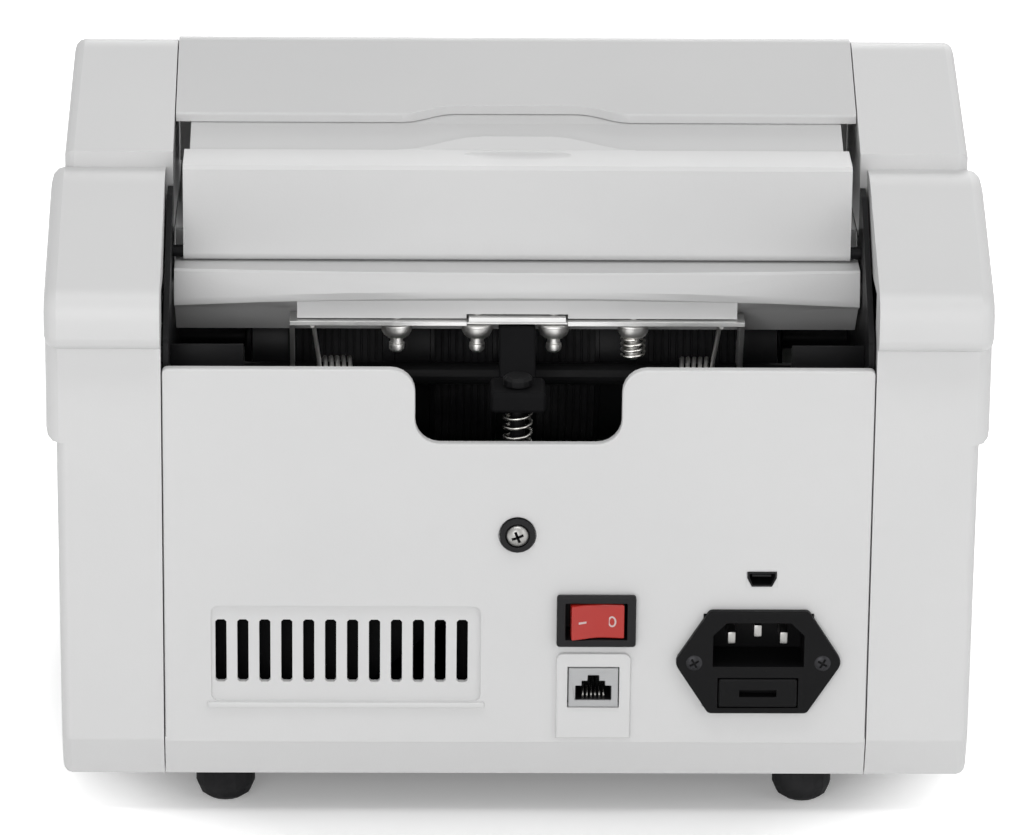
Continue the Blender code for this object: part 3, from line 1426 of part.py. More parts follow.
def stacker_train(steel, black, rubber):
    """The stacker shaft with its two finned wheels, and the motor that turns it by a belt."""
    end = SIDE_IN + WALL + PULLEY_WIDTH + 2 * mm
    collar = WHEEL_WIDTH / 2 + 3 * mm
    shaft = [(0, end), (SHAFT_RADIUS, end)]
    for centre in (WHEEL_X, -WHEEL_X):
        shaft += [
            (SHAFT_RADIUS, centre + collar),
            (5 * mm, centre + collar),
            (5 * mm, centre + WHEEL_WIDTH / 2 + GAP),
            (SHAFT_RADIUS, centre + WHEEL_WIDTH / 2 + GAP),
            (SHAFT_RADIUS, centre - WHEEL_WIDTH / 2 - GAP),
            (5 * mm, centre - WHEEL_WIDTH / 2 - GAP),
            (5 * mm, centre - collar),
            (SHAFT_RADIUS, centre - collar),
        ]
    shaft += [(SHAFT_RADIUS, -PLATE_OUT - 1 * mm), (0, -PLATE_OUT - 1 * mm)]
    turned("stacker_shaft", shaft, steel, (0, *STACKER_AT), axis="X", steps=12)
    for name, side in (("stacker_wheel_left", -1), ("stacker_wheel_right", 1)):
        stacker_wheel(name, side * WHEEL_X, black)
    pulley("stacker_pulley", 1, STACKER_AT, PULLEY_LARGE, SHAFT_RADIUS, black)
    motor("stacker_motor", 1, STACKER_MOTOR_AT, steel)
    pulley("stacker_motor_pulley", 1, STACKER_MOTOR_AT, PULLEY_SMALL, MOTOR_SHAFT, black)
    belt("stacker_belt", 1, (STACKER_AT, PULLEY_LARGE), (STACKER_MOTOR_AT, PULLEY_SMALL), rubber)


def stacker_wheel(name, x, finish):
    """A hub with curved fins, each a swept blade, that catch the notes one by one."""
    hub = 13 * mm
    outline = []
    for i in range(FIN_COUNT):
        start = 360 * i / FIN_COUNT
        rise = [
            (hub, 0),
            (hub + 7 * mm, 5),
            (hub + 14 * mm, 14),
            (WHEEL_RADIUS, 29),
            (WHEEL_RADIUS - 0.2 * mm, 31.4),
            (hub + 13.2 * mm, 19),
            (hub + 6.5 * mm, 12),
            (hub + 0.4 * mm, 13),
        ]
        for radius, angle in rise:
            turned_by = math.radians(start + angle)
            outline.append((radius * math.cos(turned_by), radius * math.sin(turned_by)))
    shape = slab(outline, "X", x - WHEEL_WIDTH / 2, x + WHEEL_WIDTH / 2)
    made = add_object(name, to_mesh(name, shape), finish)
    made.location = (0, *STACKER_AT)
    cut(made, rod("X", STACKER_AT, SHAFT_RADIUS + GAP, x - WHEEL_WIDTH, x + WHEEL_WIDTH, sides=16))


def stacker_tray(finish):
    """The moulded pocket floor: front lip, slope to the wheels, and the slotted back wall."""
    half = INSIDE - SHEET - GAP
    back = STACKER_F + 22 * mm
    floor_z = BOTTOM + 5 * mm
    thick = WALL
    outline = rounded(
        [
            (f(2 * mm), BOTTOM + 1 * mm),
            (f(2 * mm), floor_z + 10 * mm, 2 * mm),
            (f(9 * mm), floor_z + 11 * mm, 3 * mm),
            (f(62 * mm), floor_z + thick, 12 * mm),
            (f(back), floor_z + thick, 8 * mm),
            (f(back), SKIRT_TOP - 2 * mm),
            (f(back + thick), SKIRT_TOP - 2 * mm),
            (f(back + thick), floor_z, 9 * mm),
            (f(62 * mm), floor_z, 12 * mm),
            (f(10 * mm), floor_z + 11 * mm - 1.2 * thick, 2 * mm),
            (f(2 * mm + thick), floor_z + 7 * mm, 1 * mm),
            (f(2 * mm + thick), BOTTOM + 1 * mm),
        ]
    )
    made = add_object("stacker_tray", to_mesh("stacker_tray", slab(outline, "X", -half, half)), finish)
    slots = []
    for x in (-WHEEL_X, WHEEL_X):
        reach = WHEEL_WIDTH / 2 + 2.5 * mm
        drop = math.sqrt(max((WHEEL_RADIUS + 2 * mm) ** 2 - (back - STACKER_F) ** 2, 0))
        slots.append(
            box(
                (x - reach, f(back - 9 * mm), STACKER_Z - drop - 9 * mm),
                (x + reach, f(back + 2 * thick), STACKER_Z + drop + 3 * mm),
            )
        )
        slots.append(
            box(
                (x - reach, f(STACKER_F - 22 * mm), floor_z - 1 * mm),
                (x + reach, f(back + 2 * thick), STACKER_Z - drop),
            )
        )
    cut(made, *slots)


def panel_matrix():
    """Takes X, distance up the front slope and height off it to the world."""
    return Matrix.Translation(PANEL_LOW) @ Matrix.Rotation(PANEL_ANGLE, 4, "X")


WINDOW_SIZE = (92 * mm, 28 * mm)
WINDOW_AT = (-30 * mm, 41 * mm)
KEY_RADIUS = 5.5 * mm
KEY_PITCH = 19 * mm
KEY_UP = 17 * mm
KEY_FIRST_X = 18 * mm
KEY_COUNT = 4
KEY_TRAVEL = 0.8 * mm


def control_panel(finish, glass, key_finish):
    """The front slope: a shell with a folded front edge, a window pocket and four key holes."""
    matrix = panel_matrix()
    length = (f(HOPPER_FRONT) - PANEL_LOW.y) / math.cos(PANEL_ANGLE)
    sink = 1.2 * mm
    outline = rounded(
        [
            (0, -sink, 3 * mm),
            (length, -sink),
            (length, -sink - WALL),
            (1.6 * mm, -sink - WALL, 1 * mm),
            (7 * mm, -sink - 19 * mm),
            (4.4 * mm, -sink - 19 * mm),
        ]
    )
    shape = slab(outline, "X", -INSIDE, INSIDE)
    made = add_object("control_panel", to_mesh("control_panel", transformed(shape, matrix)), finish)
    pocket = box(
        (WINDOW_AT[0] - WINDOW_SIZE[0] / 2 - GAP, WINDOW_AT[1] - WINDOW_SIZE[1] / 2 - GAP, -sink - 1.5 * mm),
        (WINDOW_AT[0] + WINDOW_SIZE[0] / 2 + GAP, WINDOW_AT[1] + WINDOW_SIZE[1] / 2 + GAP, 2 * mm),
    )
    holes = many(
        [rod("Z", (x, KEY_UP), KEY_RADIUS + GAP, -sink - 2 * WALL, 2 * mm, sides=28) for x in key_places()]
    )
    cut(made, transformed(pocket, matrix), transformed(holes, matrix))
    pane = box(
        (WINDOW_AT[0] - WINDOW_SIZE[0] / 2, WINDOW_AT[1] - WINDOW_SIZE[1] / 2, -sink - 1.2 * mm),
        (WINDOW_AT[0] + WINDOW_SIZE[0] / 2, WINDOW_AT[1] + WINDOW_SIZE[1] / 2, -sink + 0.4 * mm),
    )
    add_object("display_window", to_mesh("display_window", transformed(pane, matrix)), glass)
    under = -sink - WALL
    profile = [
        (0, -sink + 1.8 * mm),
        (KEY_RADIUS - 1.2 * mm, -sink + 1.6 * mm),
        (KEY_RADIUS, -sink + 0.9 * mm),
        (KEY_RADIUS, under - KEY_TRAVEL),
        (KEY_RADIUS + 1.4 * mm, under - KEY_TRAVEL),
        (KEY_RADIUS + 1.4 * mm, under - KEY_TRAVEL - 1.2 * mm),
        (0, under - KEY_TRAVEL - 1.2 * mm),
    ]
    for index, x in enumerate(key_places()):
        key = turned(f"key_{index + 1}", profile, key_finish, matrix @ Vector((x, KEY_UP, 0)), steps=18)
        key.rotation_euler = (PANEL_ANGLE, 0, 0)


def key_places():
    return [KEY_FIRST_X + KEY_PITCH * index for index in range(KEY_COUNT)]


HOPPER_FLOOR = 2 * mm
GUIDE_HOME = 72 * mm
GUIDE_THICK = 3 * mm


def hopper(finish, steel, black):
    """The hopper floor with its tyre slots, the guide rail, and the two side guides on it."""
    start = f(HOPPER_FRONT) + 2 * mm + RUN
    bend = u(PICKUP_U - PICKUP_RADIUS - 8 * mm)
    high, low = PICKUP_Z + PICKUP_RADIUS, PICKUP_Z + PICKUP_RADIUS - 5 * mm
    end = bend + 10 * mm
    outline = [
        (start, high),
        (bend, low),
        (end, low - 6 * mm),
        (end, low - 6 * mm - HOPPER_FLOOR * 1.2),
        (bend, low - HOPPER_FLOOR),
        (start, high - HOPPER_FLOOR),
    ]
    made = add_object("hopper_floor", to_mesh("hopper_floor", slab(outline, "X", -INSIDE, INSIDE)), finish)
    slots = []
    for x in (-TYRE_X, TYRE_X):
        reach = TYRE_WIDTH / 2 + 2 * mm
        slots.append(
            box(
                (x - reach, u(PICKUP_U + PICKUP_RADIUS + 2 * mm), low - 8 * mm),
                (x + reach, u(PICKUP_U - PICKUP_RADIUS - 2 * mm), high + 5 * mm),
            )
        )
    cut(made, many(slots))
    rail = rod("X", RAIL_AT, RAIL_RADIUS, -SIDE_IN - 0.3 * mm, SIDE_IN + 0.3 * mm, sides=16)
    add_object("guide_rail", to_mesh("guide_rail", rail), steel)
    top = CREST_Z - 7.5 * mm
    for name, side in (("hopper_guide_left", -1), ("hopper_guide_right", 1)):
        inner, outer = GUIDE_HOME, GUIDE_HOME + GUIDE_THICK
        shape = slab(
            rounded(
                [
                    (RAIL_AT[0] + 5 * mm, top, 3 * mm),
                    (f(HOPPER_FRONT + 38 * mm), top - 6 * mm, 12 * mm),
                    (f(HOPPER_FRONT + 9 * mm), high + 5 * mm, 3 * mm),
                    (f(HOPPER_FRONT + 9 * mm), high + 1.5 * mm, 1 * mm),
                    (RAIL_AT[0] + 2 * mm, high + 1 * mm, 3 * mm),
                ]
            ),
            "X",
            inner,
            outer,
        )
        made = add_object(name, to_mesh(name, to_side(shape, side)), black)
        collar = rod("X", RAIL_AT, 5 * mm, outer - 1 * mm, outer + 9 * mm, sides=20)
        bore = rod("X", RAIL_AT, RAIL_RADIUS + GAP, inner - 1 * mm, outer + 10 * mm, sides=16)
        join(made, to_side(collar, side))
        cut(made, to_side(bore, side))


def build():
    """Every piece, from the floor up."""
    shell = material("body_plastic", (0.66, 0.67, 0.68), 0.42)
    trim = material("trim_plastic", (0.56, 0.57, 0.58), 0.45)
    black = material("black_plastic", (0.012, 0.012, 0.013), 0.35)
    red = material("rocker_red", (0.56, 0.035, 0.025), 0.3)
    grey = material("jack_grey", (0.33, 0.34, 0.35), 0.5)
    steel = material("nickel_steel", (0.62, 0.61, 0.58), 0.28, 1.0)
    dark_steel = material("blackened_steel", (0.03, 0.03, 0.032), 0.5, 0.6)
    rubber = material("black_rubber", (0.015, 0.015, 0.016), 0.75)
    glass = material("smoked_window", (0.02, 0.022, 0.025), 0.12)
    key_grey = material("key_grey", (0.22, 0.23, 0.25), 0.5)
    board = material("board_green", (0.02, 0.12, 0.05), 0.55)

    base_pan(dark_steel)
    for index, (x, y) in enumerate(
        [(sx * FOOT_SPREAD, y) for y in (u(FOOT_INSET), f(FOOT_INSET)) for sx in (-1, 1)]
    ):
        foot(f"foot_{index + 1}", x, y, rubber)
    main_board(board)
    for name, side in (("left", -1), ("right", 1)):
        chassis_plate(f"chassis_plate_{name}", side, dark_steel)
        side_cover(f"side_cover_{name}", side, shell)
    rear_panel(shell)
    panel_fasteners(steel, black)
    power_switch(black, red)
    line_jack(grey)
    usb_socket(black)
    mains_inlet(black)
    cross_bar(dark_steel)
    shaft = rod("X", PIVOT_AT, PIVOT_RADIUS, -PLATE_OUT - 1 * mm, PLATE_OUT + 1 * mm, sides=20)
    add_object("pivot_shaft", to_mesh("pivot_shaft", shaft), dark_steel)
    pressure_bracket(steel)
    guide_lip(trim)
    for index, x in enumerate(BRACKET_SCREW_X):
        bracket_screw(f"bracket_screw_{index + 1}", x, index == 0, steel)
    adjuster(black, dark_steel)
    adjuster_spring(steel)
    torsion_spring("torsion_spring_left", -1, steel)
    torsion_spring("torsion_spring_right", 1, steel)
    rear_door(shell)
    guide_strip(trim)
    hopper_rear_cover(trim)
    feed_train(steel, black, rubber)
    stacker_train(steel, black, rubber)
    stacker_tray(trim)
    control_panel(shell, glass, key_grey)
    hopper(trim, steel, trim)


def stand_on_floor():
    """Lifts everything from the datum plane, which all heights start from, to stand on the floor."""
    for made in bpy.data.objects:
        made.location.z += DATUM


clear_scene()
COUNTER = collection("banknote_counter")
CUTTERS = collection("cutters", hidden=True)
build()
stand_on_floor()
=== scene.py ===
"""Banknote counter, seen from behind and above: looks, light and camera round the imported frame."""

from __future__ import annotations

import json
import logging
import math
from dataclasses import dataclass
from enum import Enum
from typing import Callable, NamedTuple, Sequence

import bmesh
import bpy
from mathutils import Matrix, Vector

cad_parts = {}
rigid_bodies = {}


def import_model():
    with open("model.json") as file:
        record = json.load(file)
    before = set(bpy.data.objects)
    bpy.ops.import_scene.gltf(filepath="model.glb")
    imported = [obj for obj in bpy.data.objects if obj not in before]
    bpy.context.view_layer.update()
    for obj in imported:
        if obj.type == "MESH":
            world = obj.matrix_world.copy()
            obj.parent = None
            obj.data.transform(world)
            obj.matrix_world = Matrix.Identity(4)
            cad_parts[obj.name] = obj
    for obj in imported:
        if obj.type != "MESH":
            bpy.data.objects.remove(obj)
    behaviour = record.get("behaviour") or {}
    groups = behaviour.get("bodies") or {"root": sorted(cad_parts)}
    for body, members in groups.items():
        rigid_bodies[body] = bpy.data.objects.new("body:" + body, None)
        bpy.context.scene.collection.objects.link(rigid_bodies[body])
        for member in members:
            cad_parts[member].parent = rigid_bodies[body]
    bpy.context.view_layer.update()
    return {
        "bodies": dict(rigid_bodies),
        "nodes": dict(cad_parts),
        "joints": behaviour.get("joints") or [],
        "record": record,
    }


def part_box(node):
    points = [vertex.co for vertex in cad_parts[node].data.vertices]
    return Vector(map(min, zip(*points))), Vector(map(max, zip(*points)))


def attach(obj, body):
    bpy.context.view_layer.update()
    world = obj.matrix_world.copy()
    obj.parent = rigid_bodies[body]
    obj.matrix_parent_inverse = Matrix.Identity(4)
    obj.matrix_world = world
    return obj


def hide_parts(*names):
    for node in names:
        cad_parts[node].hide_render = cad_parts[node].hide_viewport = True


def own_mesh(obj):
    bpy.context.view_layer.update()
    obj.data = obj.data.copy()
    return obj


LOG = logging.getLogger("banknote_counter")
MM = 0.001
Colour = tuple[float, float, float]
Point = tuple[float, float, float]
Outline = Sequence[tuple[float, float]]
Tree = bpy.types.NodeTree
Node = bpy.types.Node
Socket = bpy.types.NodeSocket
Shape = bmesh.types.BMesh


class Axis(Enum):
    """The direction a turned or extruded piece runs along."""

    X = "X"
    Y = "Y"
    Z = "Z"


def feed(tree: Tree, node: Node, values: dict[str | int, object]) -> Node:
    """Links or sets the inputs of a node.

    Args:
        tree: the tree it is in.
        node: the node.
        values: for each input, the socket that feeds it or its constant.

    Returns:
        The node.
    """
    for label, value in values.items():
        if isinstance(value, Socket):
            tree.links.new(value, node.inputs[label])
        else:
            node.inputs[label].default_value = value
    return node


def add_node(tree: Tree, kind: str, values: dict[str | int, object], **settings: object) -> Node:
    """Adds a shader node.

    Args:
        tree: the tree it goes into.
        kind: its type, without the words in front.
        values: its inputs, as in feed.
        settings: its own properties.

    Returns:
        The node.
    """
    node = tree.nodes.new("ShaderNode" + kind)
    for name, value in settings.items():
        setattr(node, name, value)
    return feed(tree, node, values)


class Effects:
    """Shared surface effects, each a node group that is built once."""

    def __init__(self) -> None:
        self._built: dict[str, Tree] = {}

    def _group(self, name: str, inputs: dict[str, object], wire_up: Callable[[Tree, Node], dict[str, Socket]]) -> Tree:
        """Builds a group, or returns the one already built.

        Args:
            name: the group's name.
            inputs: its inputs besides Vector, with their default values.
            wire_up: adds what is inside, and returns the sockets that feed the outputs.

        Returns:
            The group.
        """
        if name in self._built:
            return self._built[name]
        tree = bpy.data.node_groups.new(name, "ShaderNodeTree")
        tree.interface.new_socket(name="Vector", in_out="INPUT", socket_type="NodeSocketVector")
        for label, value in inputs.items():
            kind = "Float" if isinstance(value, float) else "Color" if len(value) == 4 else "Vector"
            tree.interface.new_socket(name=label, in_out="INPUT", socket_type="NodeSocket" + kind).default_value = value
        found = wire_up(tree, tree.nodes.new("NodeGroupInput"))
        for label in found:
            kind = "NodeSocketColor" if label == "Color" else "NodeSocketFloat"
            tree.interface.new_socket(name=label, in_out="OUTPUT", socket_type=kind)
        feed(tree, tree.nodes.new("NodeGroupOutput"), found)
        self._built[name] = tree
        return tree

    def moulded_grain(self) -> Tree:
        """A spark-eroded mould texture: fine pits in a soft swell.

        Returns:
            The group, with a Height and a Mask output.
        """

        def wire_up(tree: Tree, source: Node) -> dict[str, Socket]:
            """Adds the pits, the fine grain and the swell."""
            place, scale = source.outputs["Vector"], source.outputs["Scale"]
            fine = add_node(tree, "TexNoise", {"Vector": place, "Scale": scale, "Detail": 3.0, "Roughness": 0.6})
            half = add_node(tree, "Math", {0: scale, 1: 0.45}, operation="MULTIPLY")
            pits = add_node(tree, "TexVoronoi", {"Vector": place, "Scale": half.outputs[0]})
            swell = add_node(tree, "TexNoise", {"Vector": place, "Scale": 28.0, "Detail": 1.0})
            both = add_node(tree, "Math", {0: pits.outputs["Distance"], 1: 0.5, 2: fine.outputs["Fac"]},
                            operation="MULTIPLY_ADD")
            wide = add_node(tree, "Math", {0: swell.outputs["Fac"], 1: 3.0, 2: both.outputs[0]},
                            operation="MULTIPLY_ADD")
            return {"Height": wide.outputs[0], "Mask": both.outputs[0]}

        return self._group("moulded_grain", {"Scale": 2600.0}, wire_up)

    def tone(self) -> Tree:
        """Slow drift of a colour over a surface, as in pigmented plastic or plated steel.

        Returns:
            The group, with a Color and a Mask output.
        """

        def wire_up(tree: Tree, source: Node) -> dict[str, Socket]:
            """Adds the slow noise and the mix."""
            slow = add_node(tree, "TexNoise", {"Vector": source.outputs["Vector"], "Scale": source.outputs["Scale"],
                                               "Detail": 4.0})
            spread = add_node(tree, "MapRange", {"Value": slow.outputs["Fac"], "From Min": 0.35, "From Max": 0.65})
            share = add_node(tree, "Math", {0: spread.outputs["Result"], 1: source.outputs["Amount"]},
                             operation="MULTIPLY")
            mix = add_node(tree, "Mix", {"Factor": share.outputs[0], "A": source.outputs["Color"],
                                         "B": source.outputs["Other"]}, data_type="RGBA")
            return {"Color": mix.outputs["Result"], "Mask": share.outputs[0]}

        inputs = {"Color": (0.5, 0.5, 0.5, 1.0), "Other": (0.45, 0.45, 0.45, 1.0), "Scale": 14.0, "Amount": 0.5}
        return self._group("tone_drift", inputs, wire_up)

    def handling(self) -> Tree:
        """Roughness that varies with handling marks and faint rubs.

        Returns:
            The group, with a Roughness and a Mask output.
        """

        def wire_up(tree: Tree, source: Node) -> dict[str, Socket]:
            """Adds the smears."""
            smear = add_node(tree, "TexNoise", {"Vector": source.outputs["Vector"], "Scale": source.outputs["Scale"],
                                                "Detail": 5.0, "Roughness": 0.62, "Distortion": 0.6})
            spread = add_node(tree, "MapRange", {"Value": smear.outputs["Fac"], "From Min": 0.3, "From Max": 0.7,
                                                 "To Min": source.outputs["Low"], "To Max": source.outputs["High"]})
            return {"Roughness": spread.outputs["Result"], "Mask": smear.outputs["Fac"]}

        return self._group("handling_marks", {"Low": 0.35, "High": 0.5, "Scale": 32.0}, wire_up)

    def brushing(self) -> Tree:
        """Drawn or turned lines, stretched by the vector's own scale.

        Returns:
            The group, with a Height output.
        """

        def wire_up(tree: Tree, source: Node) -> dict[str, Socket]:
            """Adds the stretched lines."""
            along = add_node(tree, "VectorMath", {0: source.outputs["Vector"], 1: source.outputs["Stretch"]},
                             operation="MULTIPLY")
            lines = add_node(tree, "TexNoise", {"Vector": along.outputs["Vector"], "Scale": source.outputs["Scale"],
                                                "Detail": 4.0, "Roughness": 0.65})
            return {"Height": lines.outputs["Fac"]}

        return self._group("tool_lines", {"Stretch": (1.0, 1.0, 1.0), "Scale": 900.0}, wire_up)


EFFECTS = Effects()


@dataclass(frozen=True)
class Finish:
    """A surface: its name, the record's slot, two colours that drift, rubs and a texture."""

    name: str
    slot: str
    colour: Colour
    other: Colour
    rough: tuple[float, float] = (0.42, 0.52)
    drift: float = 0.5
    drift_scale: float = 14.0
    rub_scale: float = 32.0
    grain: float = 2600.0
    strength: float = 0.25
    depth: float = 0.00006
    specular: float = 0.5
    coat: float = 0.0
    metallic: float = 0.0

    def build(self) -> bpy.types.Material:
        """Makes the material, or takes the one already made.

        Returns:
            The material.
        """
        made = bpy.data.materials.get(self.name)
        if made is None:
            made = bpy.data.materials.new(self.name)
            made.use_nodes = True
            made.diffuse_color = (*self.colour, 1.0)
            nodes = made.node_tree.nodes
            place = nodes.new("ShaderNodeTexCoord")
            self.dress(made.node_tree, nodes["Principled BSDF"], place.outputs["Object"])
        return made

    def dress(self, tree: Tree, shader: Node, place: Socket) -> None:
        """Wires the drift, the rubs and the texture into the shader.

        Args:
            tree: the material's tree.
            shader: its Principled BSDF.
            place: the Object coordinates.
        """
        tone = self.effect(tree, EFFECTS.tone(), place, Color=(*self.colour, 1.0), Other=(*self.other, 1.0),
                           Scale=self.drift_scale, Amount=self.drift)
        feed(tree, shader, {"Base Color": tone.outputs["Color"], "Roughness": self.rubs(tree, place),
                            "Metallic": self.metallic, "Specular IOR Level": self.specular,
                            "Coat Weight": self.coat, "Coat Roughness": 0.12})
        self.bump(tree, self.texture(tree, place), shader)

    def rubs(self, tree: Tree, place: Socket) -> Socket:
        """The roughness, with its handling marks."""
        return self.effect(tree, EFFECTS.handling(), place, Low=self.rough[0], High=self.rough[1],
                           Scale=self.rub_scale).outputs["Roughness"]

    def texture(self, tree: Tree, place: Socket) -> Socket:
        """The height of the finish's own texture."""
        return self.effect(tree, EFFECTS.moulded_grain(), place, Scale=self.grain).outputs["Height"]

    def effect(self, tree: Tree, group: Tree, place: Socket, **values: object) -> Node:
        """Adds a shared effect that reads these coordinates."""
        return add_node(tree, "Group", {"Vector": place, **values}, node_tree=group)

    def bump(self, tree: Tree, height: Socket, shader: Node) -> None:
        """Feeds a height into the shader's normal."""
        node = add_node(tree, "Bump", {"Height": height, "Strength": self.strength, "Distance": self.depth})
        feed(tree, shader, {"Normal": node.outputs["Normal"]})


@dataclass(frozen=True)
class MouldedPlastic(Finish):
    """Injection-moulded plastic with a fine eroded texture."""


@dataclass(frozen=True)
class PlatedSteel(Finish):
    """Nickel or zinc plate over steel, with drawn lines."""

    rough: tuple[float, float] = (0.18, 0.34)
    drift: float = 0.6
    drift_scale: float = 90.0
    rub_scale: float = 160.0
    grain: float = 900.0
    strength: float = 0.2
    depth: float = 0.00004
    metallic: float = 1.0
    stretch: Point = (1.0, 1.0, 1.0)

    def texture(self, tree: Tree, place: Socket) -> Socket:
        """The height of the tool lines."""
        return self.effect(tree, EFFECTS.brushing(), place, Stretch=self.stretch, Scale=self.grain).outputs["Height"]


@dataclass(frozen=True)
class PaintedSheet(Finish):
    """Powder-coated sheet steel with an orange-peel skin."""

    rough: tuple[float, float] = (0.38, 0.55)
    drift: float = 0.7
    drift_scale: float = 24.0
    rub_scale: float = 60.0
    grain: float = 900.0
    strength: float = 0.3
    depth: float = 0.00008
    specular: float = 0.12


@dataclass(frozen=True)
class Rubber(Finish):
    """Matte black rubber with talc bloom."""

    rough: tuple[float, float] = (0.6, 0.85)
    drift: float = 0.8
    drift_scale: float = 60.0
    rub_scale: float = 110.0
    grain: float = 1700.0
    strength: float = 0.4
    depth: float = 0.00012
    specular: float = 0.15


@dataclass(frozen=True)
class SolderMask(Finish):
    """A printed board: green mask over copper tracks."""

    rough: tuple[float, float] = (0.2, 0.32)
    rub_scale: float = 80.0
    grain: float = 260.0
    strength: float = 0.3
    depth: float = 0.00005
    track: float = 0.55

    def dress(self, tree: Tree, shader: Node, place: Socket) -> None:
        """Wires a squared track pattern under a glossy mask.

        Args:
            tree: the material's tree.
            shader: its Principled BSDF.
            place: the Object coordinates.
        """
        tracks = add_node(tree, "TexVoronoi", {"Vector": place, "Scale": self.grain}, distance="MANHATTAN")
        step = add_node(tree, "Math", {0: tracks.outputs["Distance"], 1: self.track}, operation="GREATER_THAN")
        mix = add_node(tree, "Mix", {"Factor": step.outputs[0], "A": (*self.colour, 1.0), "B": (*self.other, 1.0)},
                       data_type="RGBA")
        feed(tree, shader, {"Base Color": mix.outputs["Result"], "Roughness": self.rubs(tree, place)})
        self.bump(tree, step.outputs[0], shader)


BODY = MouldedPlastic("body_plastic_fine", "body_plastic", (0.655, 0.655, 0.655), (0.628, 0.629, 0.63), (0.4, 0.48),
                      drift=0.6)
TRIM = MouldedPlastic("trim_plastic_satin", "trim_plastic", (0.6, 0.6, 0.6), (0.57, 0.571, 0.573), (0.36, 0.44),
                      drift=0.6)
BLACK = MouldedPlastic("black_plastic_satin", "black_plastic", (0.006, 0.006, 0.0065), (0.011, 0.011, 0.012),
                       (0.36, 0.5), grain=1900.0, specular=0.18)
RED = MouldedPlastic("rocker_red_gloss", "rocker_red", (0.45, 0.024, 0.016), (0.38, 0.017, 0.012), (0.2, 0.3),
                     grain=900.0, strength=0.06, coat=0.08, specular=0.35)
JACK = MouldedPlastic("jack_grey_satin", "jack_grey", (0.44, 0.445, 0.45), (0.39, 0.395, 0.4), (0.35, 0.5))
KEY = MouldedPlastic("key_grey_soft", "key_grey", (0.22, 0.23, 0.25), (0.2, 0.21, 0.23), (0.55, 0.7))
WINDOW = MouldedPlastic("window_smoked", "smoked_window", (0.012, 0.013, 0.016), (0.016, 0.017, 0.02), (0.1, 0.18),
                        grain=300.0, strength=0.02, coat=0.1, specular=0.22)
INLET = MouldedPlastic("inlet_black_satin", "black_plastic", (0.003, 0.003, 0.0033), (0.006, 0.006, 0.0065),
                       (0.38, 0.52), grain=1900.0, specular=0.1)
# Nickel darkened below its plain tone: painted shade on the inlet's recessed blades; the panel screw's head takes the
# same darkened nickel.
DARKENED_NICKEL = PlatedSteel("nickel_darkened", "nickel_steel", (0.34, 0.335, 0.325), (0.27, 0.27, 0.26), (0.3, 0.42))
NICKEL = PlatedSteel("nickel_bright", "nickel_steel", (0.62, 0.61, 0.58), (0.5, 0.49, 0.46))
SHEET = PlatedSteel("zinc_sheet", "nickel_steel", (0.66, 0.66, 0.65), (0.56, 0.56, 0.56), (0.34, 0.48),
                    stretch=(0.08, 1.0, 1.0), grain=1400.0)
PAINTED = PaintedSheet("black_powder_coat", "blackened_steel", (0.005, 0.005, 0.0055), (0.0115, 0.0115, 0.01225))
RUBBER = Rubber("rubber_matte", "black_rubber", (0.009, 0.009, 0.01), (0.029, 0.029, 0.03))
# Zinc lightened past its plain tone: painted light on the bracket screws and torsion springs, which sit in shade under
# the lip.
LIGHTENED_ZINC = PlatedSteel("zinc_lightened", "nickel_steel", (0.88, 0.87, 0.85), (0.76, 0.75, 0.73), (0.36, 0.5))
BOARD = SolderMask("board_solder_mask", "board_green", (0.015, 0.1, 0.04), (0.0375, 0.17, 0.064))
BELTING = Rubber("belt_ribbed", "black_rubber", (0.016, 0.016, 0.017), (0.036, 0.036, 0.037))
DRUM = MouldedPlastic("drum_core_satin", "black_plastic", (0.008, 0.008, 0.009), (0.014, 0.014, 0.015), (0.32, 0.48),
                      specular=0.12)
MATTE = MouldedPlastic("black_plastic_matte", "black_plastic", (0.004, 0.004, 0.0045), (0.007, 0.007, 0.0075),
                       (0.55, 0.7), specular=0.06)
SHAFT = PlatedSteel("ground_shaft", "nickel_steel", (0.44, 0.44, 0.44), (0.38, 0.38, 0.38), (0.32, 0.42),
                    stretch=(0.2, 1.0, 1.0), grain=1800.0)
DULL = PlatedSteel("blackened_screw", "blackened_steel", (0.035, 0.035, 0.037), (0.022, 0.022, 0.024), (0.35, 0.5))
MARK = MouldedPlastic("mark_pale", "body_plastic", (0.62, 0.5, 0.49), (0.56, 0.44, 0.43), (0.3, 0.4))
DIGIT = MouldedPlastic("digit_red", "smoked_window", (0.5, 0.03, 0.015), (0.42, 0.02, 0.01), (0.2, 0.3))

DRESSED: tuple[tuple[Finish, str], ...] = (
    (PAINTED, "base_pan chassis_plate_left chassis_plate_right cross_bar pivot_shaft adjusting_screw"),
    (BODY, "side_cover_left side_cover_right rear_panel rear_door control_panel"),
    (TRIM, "hopper_rear_cover guide_strip guide_lip stacker_tray hopper_floor hopper_guide_left hopper_guide_right"),
    (SHAFT, "guide_rail stacker_shaft"),
    (SHEET, "pressure_bracket feed_motor stacker_motor"),
    (NICKEL, "bracket_screw_1 bracket_screw_2 bracket_screw_3 bracket_screw_4 torsion_spring_left"
             " torsion_spring_right adjuster_spring panel_screw"),
    (MATTE, "adjuster_block"),
    (BLACK, "screw_ring power_switch_bezel usb_socket drum_pulley feed_motor_pulley stacker_wheel_left"
            " stacker_wheel_right stacker_pulley stacker_motor_pulley"),
    (RED, "power_rocker"),
    (JACK, "line_jack"),
    (INLET, "mains_inlet fuse_drawer"),
    (RUBBER, "foot_1 foot_2 foot_3 foot_4 feed_drum pickup_roller feed_belt pickup_belt stacker_belt"),
    (WINDOW, "display_window"),
    (KEY, "key_1 key_2 key_3 key_4"),
    (BOARD, "main_board"),
)
NODE_FINISH = {node: finish for finish, nodes in DRESSED for node in nodes.split()}

WHITE = (1.0, 1.0, 1.0, 1.0)


